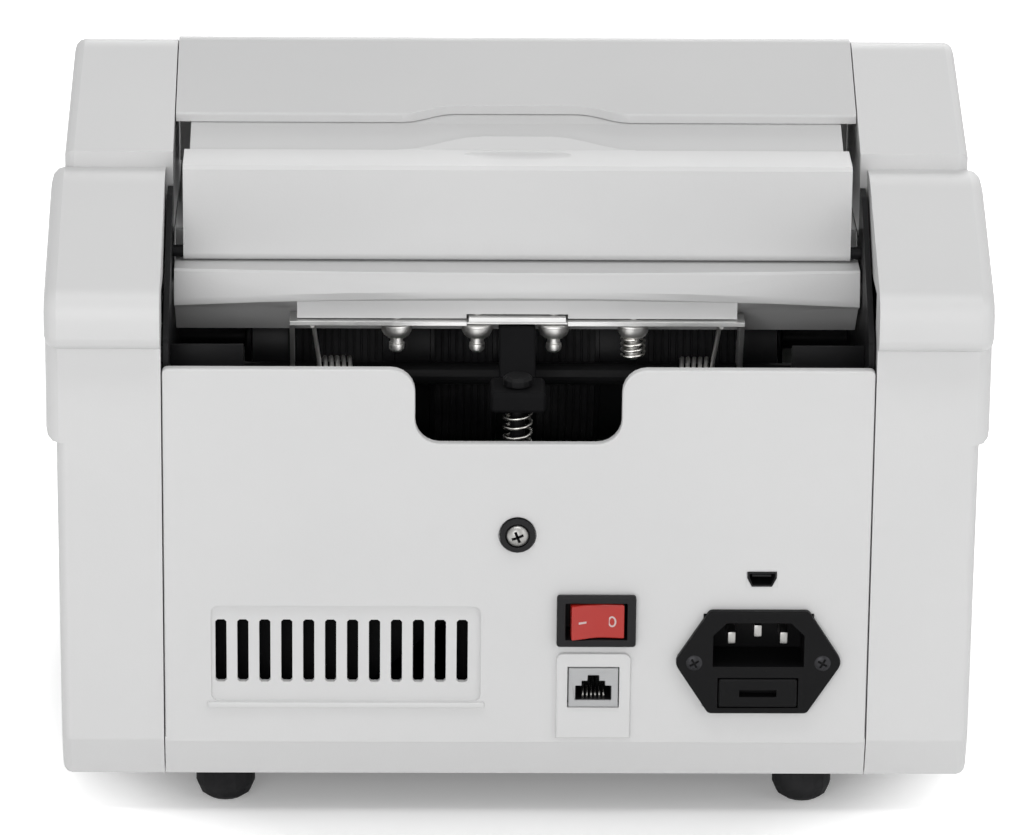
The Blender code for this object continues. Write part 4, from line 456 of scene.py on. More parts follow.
def placed(name: str, data: bpy.types.ID) -> bpy.types.Object:
    """Makes an object of its data and links it into the scene.

    Args:
        name: the object's name.
        data: its mesh, curve, lamp or camera.

    Returns:
        The object.
    """
    made = bpy.data.objects.new(name, data)
    bpy.context.scene.collection.objects.link(made)
    return made


@dataclass(frozen=True)
class CameraSpec:
    """Where the photograph was taken from, in the frame's metres and degrees."""

    aim: Point = (0.0033, 0.1192, 0.1166)
    azimuth: float = 178.91
    elevation: float = 19.42
    distance: float = 1.66
    lens: float = 223.8
    sensor: float = 36.0
    roll: float = 0.54
    clip: tuple[float, float] = (0.05, 50.0)


@dataclass(frozen=True)
class Lamp:
    """One soft box: its place and size in metres, and its power in watts."""

    name: str
    place: Point
    size: tuple[float, float]
    power: float


@dataclass
class Studio:
    """The pale floor, the soft lights and the camera, in metres."""

    camera: CameraSpec = CameraSpec()
    lamps: tuple[Lamp, ...] = (
        Lamp("key_box", (0.45, 2.0, 0.62), (1.3, 1.0), 13.0),
        Lamp("fill_box", (-1.5, 1.2, 0.8), (1.2, 1.2), 6.0),
        Lamp("front_box", (-0.4, -1.7, 1.1), (1.4, 1.0), 12.0),
        Lamp("sky_box", (0.0, 0.7, 2.0), (1.8, 0.4), 10.0),
    )
    lamp_aim: Point = (0.0, 0.0, 0.1)
    world_strength: float = 0.42
    floor_half: float = 6.0
    floor_height: float = -0.0002
    floor_tone: float = 0.9
    # The oval and the reach where the floor's glow fades: a painted shadow round the object.
    painted_shadow_oval: Point = (1.25, 0.95, 0.0)
    painted_shadow_reach: tuple[float, float] = (0.13, 0.2)
    glow_strength: tuple[float, float] = (0.19, 0.8)

    def build_camera(self) -> None:
        """Adds the camera that matches the photograph and makes it the scene's own."""
        spec = self.camera
        data = bpy.data.cameras.new("photo_camera")
        data.lens, data.sensor_width = spec.lens, spec.sensor
        data.clip_start, data.clip_end = spec.clip
        turn, rise = math.radians(spec.azimuth), math.radians(spec.elevation)
        away = Vector((math.sin(turn) * math.cos(rise), -math.cos(turn) * math.cos(rise), math.sin(rise)))
        made = placed("photo_camera", data)
        made.location = Vector(spec.aim) + away * spec.distance
        made.rotation_euler = (-away).to_track_quat("-Z", "Y").to_euler()
        made.rotation_euler.rotate_axis("Z", math.radians(spec.roll))
        bpy.context.scene.camera = made

    def build_lamps(self) -> None:
        """Adds the soft boxes, each turned to the object."""
        for lamp in self.lamps:
            data = bpy.data.lights.new(lamp.name, "AREA")
            data.shape = "RECTANGLE"
            data.size, data.size_y = lamp.size
            data.energy = lamp.power
            made = placed(lamp.name, data)
            made.location = lamp.place
            aim = Vector(self.lamp_aim) - Vector(lamp.place)
            made.rotation_euler = aim.to_track_quat("-Z", "Y").to_euler()

    def seen(self, tree: Tree) -> Socket:
        """One where the camera, a gloss or a glass looks at the background, zero for plain light.

        Args:
            tree: the tree that asks.

        Returns:
            The output to use.
        """
        rays = add_node(tree, "LightPath", {})
        total = rays.outputs["Is Camera Ray"]
        for kind in ("Is Glossy Ray", "Is Transmission Ray"):
            total = add_node(tree, "Math", {0: total, 1: rays.outputs[kind]}, operation="MAXIMUM").outputs[0]
        return total

    def build_world(self) -> None:
        """A pale world that lights softly and shows white to the camera and in gloss."""
        world = bpy.data.worlds.new("studio")
        bpy.context.scene.world = world
        world.use_nodes = True
        tree = world.node_tree
        back = feed(tree, tree.nodes["Background"], {"Color": WHITE, "Strength": self.world_strength})
        white = add_node(tree, "Background", {"Color": WHITE, "Strength": 1.0})
        mix = add_node(tree, "MixShader", {"Fac": self.seen(tree), 1: back.outputs[0], 2: white.outputs[0]})
        feed(tree, tree.nodes["World Output"], {"Surface": mix.outputs[0]})

    def floor_finish(self) -> bpy.types.Material:
        """The floor's white, with a glow for camera and gloss rays that is weak in an oval round the object, a painted
        shadow over the real one.

        Returns:
            The material.
        """
        finish = bpy.data.materials.new("studio_floor")
        finish.use_nodes = True
        tree = finish.node_tree
        shader = feed(tree, tree.nodes["Principled BSDF"], {"Base Color": (*[self.floor_tone] * 3, 1.0),
                                                            "Roughness": 0.85, "Specular IOR Level": 0.1})
        place = add_node(tree, "TexCoord", {})
        # The glow fades in an oval round the object: a painted shadow.
        oval = add_node(tree, "VectorMath", {0: place.outputs["Object"], 1: self.painted_shadow_oval}, operation="MULTIPLY")
        far = add_node(tree, "VectorMath", {0: oval.outputs["Vector"]}, operation="LENGTH")
        fade = add_node(tree, "MapRange", {"Value": far.outputs["Value"], "From Min": self.painted_shadow_reach[0],
                                           "From Max": self.painted_shadow_reach[1], "To Min": self.glow_strength[0],
                                           "To Max": self.glow_strength[1]}, interpolation_type="SMOOTHSTEP")
        lift = add_node(tree, "Math", {0: self.seen(tree), 1: fade.outputs["Result"]}, operation="MULTIPLY")
        glow = add_node(tree, "Emission", {"Strength": lift.outputs[0]})
        both = add_node(tree, "AddShader", {0: shader.outputs[0], 1: glow.outputs[0]})
        feed(tree, tree.nodes["Material Output"], {"Surface": both.outputs[0]})
        return finish

    def build_floor(self) -> None:
        """A wide pale floor that keeps the object's shadow."""
        shape = bmesh.new()
        bmesh.ops.create_grid(shape, x_segments=1, y_segments=1, size=self.floor_half)
        bmesh.ops.translate(shape, vec=(0.0, 0.0, self.floor_height), verts=shape.verts)
        mesh = bpy.data.meshes.new("floor")
        shape.to_mesh(mesh)
        shape.free()
        mesh.materials.append(self.floor_finish())
        placed("floor", mesh)

    def build(self) -> None:
        """Builds the whole studio."""
        self.build_camera()
        self.build_lamps()
        self.build_world()
        self.build_floor()
        bpy.context.scene.view_settings.view_transform = "Standard"


TURNS = {
    Axis.X: Matrix(((0, 0, 1, 0), (1, 0, 0, 0), (0, 1, 0, 0), (0, 0, 0, 1))),
    Axis.Y: Matrix(((1, 0, 0, 0), (0, 0, 1, 0), (0, -1, 0, 0), (0, 0, 0, 1))),
    Axis.Z: Matrix.Identity(4),
}


def laid(axis: Axis, across: float, up: float, along: float) -> Point:
    """The point with this place along an axis: (y, z) lie across X, (x, z) across Y and (x, y) across Z."""
    return {Axis.X: (along, across, up), Axis.Y: (across, along, up), Axis.Z: (across, up, along)}[axis]


def lathe(profile: Outline, axis: Axis, centre: Point, steps: int = 48) -> Shape:
    """Spins a profile into a closed body, all in millimetres.

    Args:
        profile: (radius, height) points.
        axis: the axis that the heights run along.
        centre: the profile's origin.
        steps: faces round the body.

    Returns:
        The body.
    """
    shape = bmesh.new()
    points = [shape.verts.new((radius * MM, 0.0, height * MM)) for radius, height in profile]
    edges = [shape.edges.new(pair) for pair in zip(points, points[1:])]
    bmesh.ops.spin(shape, geom=[*points, *edges], cent=(0, 0, 0), axis=(0, 0, 1), angle=math.tau, steps=steps,
                   use_merge=True)
    bmesh.ops.remove_doubles(shape, verts=shape.verts, dist=1e-7)
    bmesh.ops.dissolve_degenerate(shape, dist=1e-7, edges=shape.edges)
    bmesh.ops.recalc_face_normals(shape, faces=shape.faces)
    place = Matrix.Translation([value * MM for value in centre]) @ TURNS[axis]
    bmesh.ops.transform(shape, matrix=place, verts=shape.verts)
    return shape


def prism(outline: Outline, axis: Axis, low: float, high: float) -> Shape:
    """Extrudes an outline along an axis, all in millimetres.

    Args:
        outline: points across the axis, as laid takes them.
        axis: the axis it is extruded along.
        low: where it starts.
        high: where it ends.

    Returns:
        The solid.
    """
    shape = bmesh.new()
    rim = [shape.verts.new([value * MM for value in laid(axis, a, b, low)]) for a, b in outline]
    grown = bmesh.ops.extrude_face_region(shape, geom=[shape.faces.new(rim)], use_keep_orig=True)
    moved = [item for item in grown["geom"] if isinstance(item, bmesh.types.BMVert)]
    bmesh.ops.translate(shape, vec=laid(axis, 0, 0, (high - low) * MM), verts=moved)
    bmesh.ops.recalc_face_normals(shape, faces=shape.faces)
    return shape


def rounded_edges(shape: Shape, edge: float, angle: float = 28.0) -> Shape:
    """Bevels the sharp edges of a shape.

    Args:
        shape: the shape.
        edge: the width of the rounding in millimetres, or 0 for none.
        angle: the least fold of an edge that counts as sharp, in degrees.

    Returns:
        The same shape.
    """
    if edge > 0:
        sharp = [item for item in shape.edges if item.calc_face_angle(0.0) > math.radians(angle)]
        bmesh.ops.bevel(shape, geom=sharp, offset=edge * MM, offset_type="OFFSET", affect="EDGES", segments=2,
                        profile=0.5, material=-1, clamp_overlap=True)
    return shape


def block(low: Point, high: Point, edge: float = 0.0) -> Shape:
    """A box between two corners, in millimetres.

    Args:
        low: its lowest corner.
        high: its highest corner.
        edge: the width of the rounding on its edges, or 0 for none.

    Returns:
        The box.
    """
    shape = bmesh.new()
    bmesh.ops.create_cube(shape, size=1.0)
    bmesh.ops.scale(shape, vec=[(b - a) * MM for a, b in zip(low, high)], verts=shape.verts)
    bmesh.ops.translate(shape, vec=[(a + b) / 2 * MM for a, b in zip(low, high)], verts=shape.verts)
    return rounded_edges(shape, edge)


def mirrored(shape: Shape) -> Shape:
    """Mirrors a shape left to right, and keeps its faces outwards.

    Args:
        shape: the shape.

    Returns:
        The same shape.
    """
    bmesh.ops.scale(shape, vec=(-1, 1, 1), verts=shape.verts)
    bmesh.ops.recalc_face_normals(shape, faces=shape.faces)
    return shape


def joined(*shapes: Shape) -> Shape:
    """Puts several shapes into one, and frees them.

    Args:
        shapes: the shapes.

    Returns:
        The new shape.
    """
    whole = bmesh.new()
    for shape in shapes:
        mesh = bpy.data.meshes.new("part")
        shape.to_mesh(mesh)
        shape.free()
        whole.from_mesh(mesh)
        bpy.data.meshes.remove(mesh)
    return whole


def carved(shape: Shape, *tools: Shape) -> Shape:
    """Cuts tools out of a shape with the exact Boolean.

    Args:
        shape: the closed shape.
        tools: the closed shapes to take away.

    Returns:
        The result, as a new shape.
    """
    held = []
    for index, item in enumerate((shape, *tools)):
        mesh = bpy.data.meshes.new(f"carve_{index}")
        item.to_mesh(mesh)
        item.free()
        held.append(placed(f"carve_{index}", mesh))
    for tool in held[1:]:
        step = held[0].modifiers.new(tool.name, "BOOLEAN")
        step.operation, step.solver, step.object = "DIFFERENCE", "EXACT", tool
    graph = bpy.context.evaluated_depsgraph_get()
    graph.update()
    result = bmesh.new()
    result.from_object(held[0], graph)
    for item in held:
        mesh = item.data
        bpy.data.objects.remove(item)
        bpy.data.meshes.remove(mesh)
    return result


def cross(centre: Point, length: float, width: float, reach: tuple[float, float], turn: float) -> list[Shape]:
    """The two bars of the cross recess in a screw along Y, in millimetres.

    Args:
        centre: the middle of the screw's head.
        length: a bar's length.
        width: a bar's width.
        reach: where the bars start and end, from the centre along Y.
        turn: how far the cross is turned, in degrees.

    Returns:
        The bars.
    """
    x, y, z = centre
    bars = [block((x - wide / 2, y + reach[0], z - tall / 2), (x + wide / 2, y + reach[1], z + tall / 2))
            for wide, tall in ((length, width), (width, length))]
    for bar in bars:
        bmesh.ops.rotate(bar, cent=[value * MM for value in centre],
                         matrix=Matrix.Rotation(math.radians(turn), 4, "Y"), verts=bar.verts)
    return bars


def coil(axis: Axis, centre: tuple[float, float], radius: float, count: int, along: Callable[[float], float],
         per_turn: int = 28) -> list[Point]:
    """Points of a coil round an axis, in millimetres.

    Args:
        axis: the coil's axis.
        centre: the axis's place, as laid takes it.
        radius: the coil's radius.
        count: how many points it has.
        along: gives the place along the axis after a number of turns.
        per_turn: points in each turn, below zero for the other way round.

    Returns:
        The points.
    """
    points = []
    for i in range(count):
        angle = math.tau * i / per_turn
        points.append(laid(axis, centre[0] + radius * math.cos(angle), centre[1] + radius * math.sin(angle),
                           along(i / abs(per_turn))))
    return points


def wire(points: Sequence[Point], radius: float, round_steps: int = 3) -> Shape:
    """A round wire through points, with closed ends, in millimetres.

    Args:
        points: the middle line.
        radius: the wire's radius.
        round_steps: the curve's bevel resolution.

    Returns:
        The wire.
    """
    data = bpy.data.curves.new("wire", "CURVE")
    data.dimensions = "3D"
    data.bevel_depth = radius * MM
    data.bevel_resolution = round_steps
    data.use_fill_caps = True
    line = data.splines.new("POLY")
    line.points.add(len(points) - 1)
    for point, place in zip(line.points, points):
        point.co = (*(value * MM for value in place), 1.0)
    holder = placed("wire", data)
    graph = bpy.context.evaluated_depsgraph_get()
    graph.update()
    mesh = bpy.data.meshes.new_from_object(holder.evaluated_get(graph))
    shape = bmesh.new()
    shape.from_mesh(mesh)
    bpy.data.objects.remove(holder)
    bpy.data.curves.remove(data)
    bpy.data.meshes.remove(mesh)
    bmesh.ops.remove_doubles(shape, verts=shape.verts, dist=1e-6)
    bmesh.ops.recalc_face_normals(shape, faces=shape.faces)
    return shape


class Place(NamedTuple):
    """A place in millimetres."""

    x: float
    y: float
    z: float


@dataclass
class Bench:
    """Fits finished pieces to the frame's bodies, and reports them."""

    frame: dict
    bodies: dict[str, str]

    def fit(self, name: str, shape: Shape, finish: Finish, body: str = "", stands_for: str = "",
            smooth: float = 35.0) -> bpy.types.Object:
        """Makes a piece of a shape.

        Args:
            name: the piece's name.
            shape: its mesh, in the frame's own place.
            finish: its finish.
            body: the body it rides on, or nothing for that of the node it replaces.
            stands_for: the node it replaces, if any.
            smooth: the angle up to which faces shade smoothly.

        Returns:
            The piece.
        """
        body = body or self.bodies[stands_for]
        mesh = bpy.data.meshes.new(name)
        shape.to_mesh(mesh)
        shape.free()
        mesh.materials.append(finish.build())
        mesh.shade_smooth()
        mesh.set_sharp_from_angle(angle=math.radians(smooth))
        made = placed(name, mesh)
        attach(made, body)
        if stands_for:
            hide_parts(stands_for)
        LOG.info("%s rides on %s with %d faces", name, body, len(mesh.polygons))
        return made

    def box(self, node: str) -> tuple[Place, Place, Place]:
        """The lowest corner, the middle and the highest corner of a node, in millimetres."""
        low, high = (Place(*(value / MM for value in Vector(corner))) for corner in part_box(node))
        return low, Place(*((a + b) / 2 for a, b in zip(low, high))), high

    def skin(self, node: str, flat: float) -> Shape:
        """Copies a node's mesh, with merged points and whole flat faces.

        Args:
            node: the frame's node.
            flat: the fold up to which two faces count as one, in degrees.

        Returns:
            The copy.
        """
        shape = bmesh.new()
        shape.from_mesh(self.frame["nodes"][node].data)
        bmesh.ops.remove_doubles(shape, verts=shape.verts, dist=1e-5)
        bmesh.ops.dissolve_limit(shape, angle_limit=math.radians(flat), verts=shape.verts, edges=shape.edges,
                                 use_dissolve_boundaries=False)
        return shape

    def soften(self, node: str, width: float, painted_shade_beyond: float = 0.0) -> None:
        """Replaces a node by a copy with merged points, rounded edges and smooth faces.

        Args:
            node: the frame's node.
            width: the width of the edge rounding, in millimetres.
            painted_shade_beyond: faces whose middle lies further from the middle plane get the black powder coat, as
                painted shade.
        """
        shape = self.skin(node, 0.6)
        # Far faces take the black powder coat: painted shade for the dark gap at the part's sides.
        for face in shape.faces:
            if painted_shade_beyond and abs(face.calc_center_median().x) > painted_shade_beyond * MM:
                face.material_index = 1
        made = self.fit(node + "_skin", shape, NODE_FINISH[node], stands_for=node, smooth=32.0)
        if painted_shade_beyond:
            made.data.materials.append(PAINTED.build())
        round_off = made.modifiers.new("round_off", "BEVEL")
        round_off.width = width * MM
        round_off.segments = 2
        round_off.limit_method = "ANGLE"
        round_off.angle_limit = math.radians(32)
        round_off.use_clamp_overlap = True
        round_off.miter_outer = "MITER_ARC"
        even = made.modifiers.new("even_shading", "WEIGHTED_NORMAL")
        even.mode = "FACE_AREA"
        even.weight = 80
        even.keep_sharp = True


@dataclass
class MouldedShells:
    """The moulded and pressed parts whose CAD form is right and only wants soft edges, in millimetres."""

    bench: Bench
    widths: tuple[tuple[float, str], ...] = (
        (0.45, "rear_panel"), (0.5, "side_cover_left side_cover_right"), (0.55, "guide_strip hopper_rear_cover"),
        (0.5, "control_panel stacker_tray"), (0.35, "hopper_floor"), (0.4, "hopper_guide_left hopper_guide_right"),
        (0.3, "guide_lip"), (0.4, "pressure_bracket"), (0.3, "adjuster_block"), (0.25, "screw_ring"),
        (0.2, "power_switch_bezel"), (0.25, "power_rocker"), (0.2, "line_jack"), (0.1, "usb_socket"),
        (0.25, "mains_inlet"), (0.2, "fuse_drawer"), (0.3, "display_window key_1 key_2 key_3 key_4"),
        (0.25, "cross_bar"), (0.3, "base_pan"),
    )
    door_width: float = 0.5
    # Door faces beyond this get black powder coat: painted shade for the dark gaps beside the door.
    door_painted_shade_beyond: float = 89.7
    web_across: tuple[float, float] = (94.7, 98.1)
    web_reach: tuple[float, float] = (-83.0, -56.4)
    web_thick: float = 1.3
    slope_end: tuple[float, float] = (-20.3, 170.77)
    slope_rise: float = 0.6004

    def build(self) -> None:
        """Makes the softened copies."""
        for width, nodes in self.widths:
            for node in nodes.split():
                self.bench.soften(node, width)
        self.bench.soften("rear_door", self.door_width, self.door_painted_shade_beyond)
        self.webs()

    def webs(self) -> None:
        """Closes the pocket beside the control panel in each side cover's slope."""
        end_y, end_z = self.slope_end
        slope = [(y, end_z + self.slope_rise * (y - end_y)) for y in self.web_reach]
        outline = [*slope, *((y, z - self.web_thick) for y, z in reversed(slope))]
        webs = [prism(outline, Axis.X, *sorted(side * x for x in self.web_across)) for side in (-1, 1)]
        self.bench.fit("cover_webs", joined(*webs), BODY, "body")


@dataclass
class RearFittings:
    """What sits in the rear panel: screw, switch, jacks, inlet, and the black gauze and sheets that paint the shade
    behind the louvres and past the drum's ends, in millimetres.
    """

    bench: Bench
    screw_profile: Outline = ((0, 0), (1.0, -0.08), (2.0, -0.45), (2.7, -1.0), (3.0, -1.5), (3.0, -1.8), (1.5, -1.8),
                              (1.5, -13.5), (1.0, -13.9), (0, -13.9))
    screw_turn: float = 22.0
    thread_turns: int = 12
    rocker_arc: float = 12.6
    rocker_depth: float = 14.6
    rocker_tilt: float = 7.0
    mark_away: float = 3.9
    mark_reach: tuple[float, float] = (-0.12, 0.07)
    jack_steps: Outline = ((4.85, 0.0), (4.85, 4.2), (3.15, 4.2), (3.15, 5.6), (1.55, 5.6), (1.55, 7.2))
    jack_middle: float = 3.2
    contact: Outline = ((1.6, 0.3), (1.4, 1.2), (2.4, 2.3), (6.0, 3.6), (9.8, 4.2))
    contact_pitch: float = 1.12
    pins: Outline = ((-7.0, 5.2), (0.0, 7.2), (7.0, 5.2))
    flange_screw: Outline = ((0, 0.8), (1.2, 0.72), (2.1, 0.45), (2.5, 0), (0, 0))
    flange_away: float = 17.2
    usb_shell: Outline = ((-69.36, 71.76), (-69.36, 69.88), (-68.13, 67.44), (-62.67, 67.44), (-61.44, 69.88),
                          (-61.44, 71.76))
    gauze_back: float = 107.5
    gauze_pitch: float = 1.17
    shade_sheet_across: tuple[float, float] = (73.0, 92.45)

    def build(self) -> None:
        """Builds every fitting."""
        self.screw()
        self.rocker_marks()
        self.jack()
        self.inlet()
        self.usb_surround()
        self.shade_gauze()
        self.shade_sheets()

    def screw(self) -> None:
        """The domed panel screw with its cross recess and its thread, and a matte black cross in the recess that paints
        the shade there.
        """
        _, middle, high = self.bench.box("panel_screw")
        centre = (middle.x, high.y, middle.z)
        recess = cross(centre, 3.3, 0.75, (-1.1, 0.5), self.screw_turn)
        head = carved(lathe(self.screw_profile, Axis.Y, centre), *recess)
        self.bench.fit("panel_screw_head", head, DARKENED_NICKEL, "body", "panel_screw")
        # A matte black cross sunk in the recess: painted shade at the recess's floor.
        sunk = cross(centre, 3.2, 0.65, (-1.3, -0.45), self.screw_turn)
        self.bench.fit("panel_screw_recess_shade", joined(*sunk), MATTE, "body")
        thread = coil(Axis.Y, (middle.x, middle.z), 1.55, 16 * self.thread_turns,
                      lambda turns: high.y - 3.2 - 0.8 * turns, 16)
        self.bench.fit("panel_screw_thread", wire(thread, 0.22, 1), NICKEL, "body")

    def rocker_marks(self) -> None:
        """The bar and the ring moulded into the rocker's two ends."""
        joint = next(item for item in self.bench.frame["record"]["behaviour"]["joints"] if item["child"] == "rocker")
        low, high = self.mark_reach
        circle = [(math.cos(math.tau * i / 24), math.sin(math.tau * i / 24)) for i in range(24)]
        ring = carved(prism([(a * 1.15, b * 1.55) for a, b in circle], Axis.Y, low, high),
                      prism([(a * 0.7, b * 1.1) for a, b in circle], Axis.Y, -0.3, 0.3))
        marks = (block((-1.3, low, -0.275), (1.3, high, 0.275)), ring)
        for mark, across in zip(marks, (self.mark_away, -self.mark_away)):
            away = self.rocker_depth - math.sqrt(self.rocker_arc**2 - across**2)
            place = (
                Matrix.Translation(joint["pos_m"])
                @ Matrix.Rotation(math.radians(self.rocker_tilt), 4, "Z")
                @ Matrix.Translation((across * MM, away * MM, 0))
                @ Matrix.Rotation(math.asin(across / self.rocker_arc), 4, "Z")
            )
            bmesh.ops.transform(mark, matrix=place, verts=mark.verts)
        self.bench.fit("rocker_marks", joined(*marks), MARK, "rocker")

    def jack(self) -> None:
        """The line jack's six spring contacts over a black well that paints the shade inside the jack's opening."""
        low, middle, high = self.bench.box("line_jack")
        x, base, face = middle.x, low.z + 2, high.y
        left = [(-a, b) for a, b in self.jack_steps]
        well = [left[0], *self.jack_steps, *reversed(left[1:])]
        outer, inner = (
            [(x + a * wide, base + self.jack_middle + (b - self.jack_middle) * tall) for a, b in well]
            for wide, tall in ((1.004, 1.004), (0.955, 0.94))
        )
        # A black cup lining the opening: painted shade inside the jack.
        shade_cup = carved(prism(outer, Axis.Y, face - 11, face - 0.5), prism(inner, Axis.Y, face - 10.6, face + 1))
        self.bench.fit("jack_shade_well", shade_cup, BLACK, "body")
        contacts = [wire([(x + at * self.contact_pitch, face - deep, base + rise) for deep, rise in self.contact],
                         0.3, 2) for at in (-2.5, -1.5, -0.5, 0.5, 1.5, 2.5)]
        self.bench.fit("jack_contacts", joined(*contacts), NICKEL, "body")

    def inlet(self) -> None:
        """The inlet's bright blades and its two flange screws."""
        _, middle, high = self.bench.box("mains_inlet")
        x, face, z = middle.x, high.y, middle.z
        blades = [block((x + across - 1.06, face - 14.8, z + rise - 1.7),
                        (x + across + 1.06, face - 5.2, z + rise + 1.7), 0.35) for across, rise in self.pins]
        self.bench.fit("inlet_blades", joined(*blades), DARKENED_NICKEL, "body")
        heads = []
        for side in (-1, 1):
            centre = (x + side * self.flange_away, face - 0.35, z)
            recess = cross(centre, 2.8, 0.6, (0.25, 1.35), side * 30)
            heads.append(carved(lathe(self.flange_screw, Axis.Y, centre, 32), *recess))
        self.bench.fit("inlet_screws", joined(*heads), DULL, "body")

    def usb_surround(self) -> None:
        """The wall round the socket's tapered shell, in the panel's square opening."""
        plate = block((-69.58, 114.2, 67.22), (-61.22, 115.02, 71.98))
        self.bench.fit("usb_surround", carved(plate, prism(self.usb_shell, Axis.Y, 113, 116)), BODY, "body")

    def shade_gauze(self) -> None:
        """A black gauze behind the louvres, whose matte black paints the shade seen through the slots."""
        # The matte black sheet paints the shade behind the slots.
        back = self.gauze_back
        frame = block((9.8, back - 0.5, 35.2), (82.2, back, 62.2), 0.2)
        ribs = [block((11.5 + i * self.gauze_pitch, back - 0.1, 36.5), (11.8 + i * self.gauze_pitch, back + 0.2, 61))
                for i in range(60)]
        self.bench.fit("louvre_shade_gauze", joined(frame, *ribs), MATTE, "body")

    def shade_sheets(self) -> None:
        """Two black sheets that close the view past the drum's ends: painted shade for the dark space beside the drum.
        """
        spans = (sorted(side * x for x in self.shade_sheet_across) for side in (-1, 1))
        # Black sheets standing in for the shade beside the drum.
        sheets = [block((low, 97, 98), (high, 97.9, 129.4), 0.15) for low, high in spans]
        self.bench.fit("side_shade_sheets", joined(*sheets), PAINTED, "body")


@dataclass
class PressureUnit:
    """The screws and springs under the lip, rounder than the CAD's, in millimetres."""

    bench: Bench
    pivot: tuple[float, float] = (70.0, 112.0)
    flange_under: float = -8.8
    torsion_ends: tuple[float, float] = (52.9, 44.6)
    torsion_radius: float = 4.2
    torsion_turns: int = 5
    leg_height: float = 129.95
    squash_turns: int = 7
    squash_radius: float = 3.7
    squash_wire: float = 0.45
    squash_give: float = 1.5
    closed_ends: float = 0.055

    def build(self) -> None:
        """Builds the screws and the springs."""
        for index in range(4):
            self.screw(f"bracket_screw_{index + 1}")
        for name, side in (("torsion_spring_left", -1), ("torsion_spring_right", 1)):
            self.torsion(name, side)
        self.compression()
        self.tail_coil()

    def screw(self, node: str) -> None:
        """A domed screw with a flange and a threaded tail.

        Args:
            node: the frame's node.
        """
        low, middle, high = self.bench.box(node)
        end, under = low.z - high.z, self.flange_under
        profile = [(0, 0), (1.5, 0), (1.5, under), (4.4, under), (4.4, under - 0.5), (4.25, under - 0.65),
                   (4.2, under - 1.5), (4.0, under - 2.4), (3.5, under - 3.3), (2.6, under - 4.0),
                   (1.7, under - 4.3), (1.7, end + 2.6), (2.05, end + 2.4), (2.15, end + 1.5),
                   (2.0, end + 0.7), (1.4, end + 0.12), (0, end)]
        turned = lathe(profile, Axis.Z, (middle.x, middle.y, high.z), 40)
        self.bench.fit(node + "_turned", turned, LIGHTENED_ZINC, stands_for=node)

    def torsion(self, node: str, side: int) -> None:
        """Five close coils on the pivot shaft with a leg at each end.

        Args:
            node: the frame's node.
            side: -1 for the left spring and 1 for the right.
        """
        y, z = self.pivot
        start, end = self.torsion_ends
        front, leg, turns = y + self.torsion_radius, self.leg_height, self.torsion_turns
        rising = ((2.0, 82.8, leg - 0.3), (2.0, 79.5, leg - 0.3), (1.7, 78.3, leg - 1.6), (1.4, 77.3, leg - 4.3),
                  (0.4, front + 0.8, z + 6.0))
        coils = coil(Axis.X, self.pivot, self.torsion_radius, 28 * turns + 1,
                     lambda turned: side * (start + (end - start) * turned / turns), -28)
        falling = ((front + 0.2, z + 2.2), (front + 1.8, z + 1.4), (front + 6.0, z - 2.0), (90.0, 96.5), (93.0, 94.2))
        points = [*((side * (start + out), deep, high) for out, deep, high in rising), *coils,
                  *((side * end, deep, high) for deep, high in falling)]
        self.bench.fit(node + "_wire", wire(points, 0.6), LIGHTENED_ZINC, stands_for=node, smooth=60.0)

    def compression(self) -> None:
        """The spring under the adjuster block, with closed end turns, on a mesh of its own."""
        low, middle, high = self.bench.box("adjuster_spring")
        bottom, top = low.z + self.squash_wire, high.z - self.squash_wire

        def along(turned: float) -> float:
            """The height after some turns, closer at both ends."""
            share = turned / self.squash_turns
            return bottom + (top - bottom) * (share - self.closed_ends * math.sin(math.tau * share) / math.tau)

        points = coil(Axis.Z, (middle.x, middle.y), self.squash_radius, 28 * self.squash_turns + 1, along)
        made = self.bench.fit("adjuster_spring_wire", wire(points, self.squash_wire), NICKEL,
                              stands_for="adjuster_spring", smooth=60.0)
        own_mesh(made)

    def tail_coil(self) -> None:
        """The loose coil round the long screw's tail."""
        low, middle, _ = self.bench.box("bracket_screw_1")
        points = coil(Axis.Z, (middle.x, middle.y), 3.0, 26 * 3 + 8, lambda turned: low.z + 1.0 + 1.55 * turned, 26)
        self.bench.fit("tail_coil", wire(points, 0.45), NICKEL, self.bench.bodies["bracket_screw_1"], smooth=60.0)


def ribbed(low: int, high: int, inner: float, outer: float, groove: float, rib: Sequence[float]) -> Outline:
    """The profile of a rubber tyre with a groove at every second millimetre.

    Args:
        low: where the tyre starts along its axis.
        high: where it ends.
        inner: its inner radius.
        outer: the radius of its ribs.
        groove: the radius of its grooves.
        rib: where a rib starts, where it ends and where the groove after it starts.

    Returns:
        The profile.
    """
    profile = [(inner, low)]
    for at in range(low, high, 2):
        profile += [(outer, at + rib[0]), (outer, at + rib[1]), (groove, at + rib[2]), (groove, at + 2.0)]
    return [*profile, (inner, high), (inner, low)]


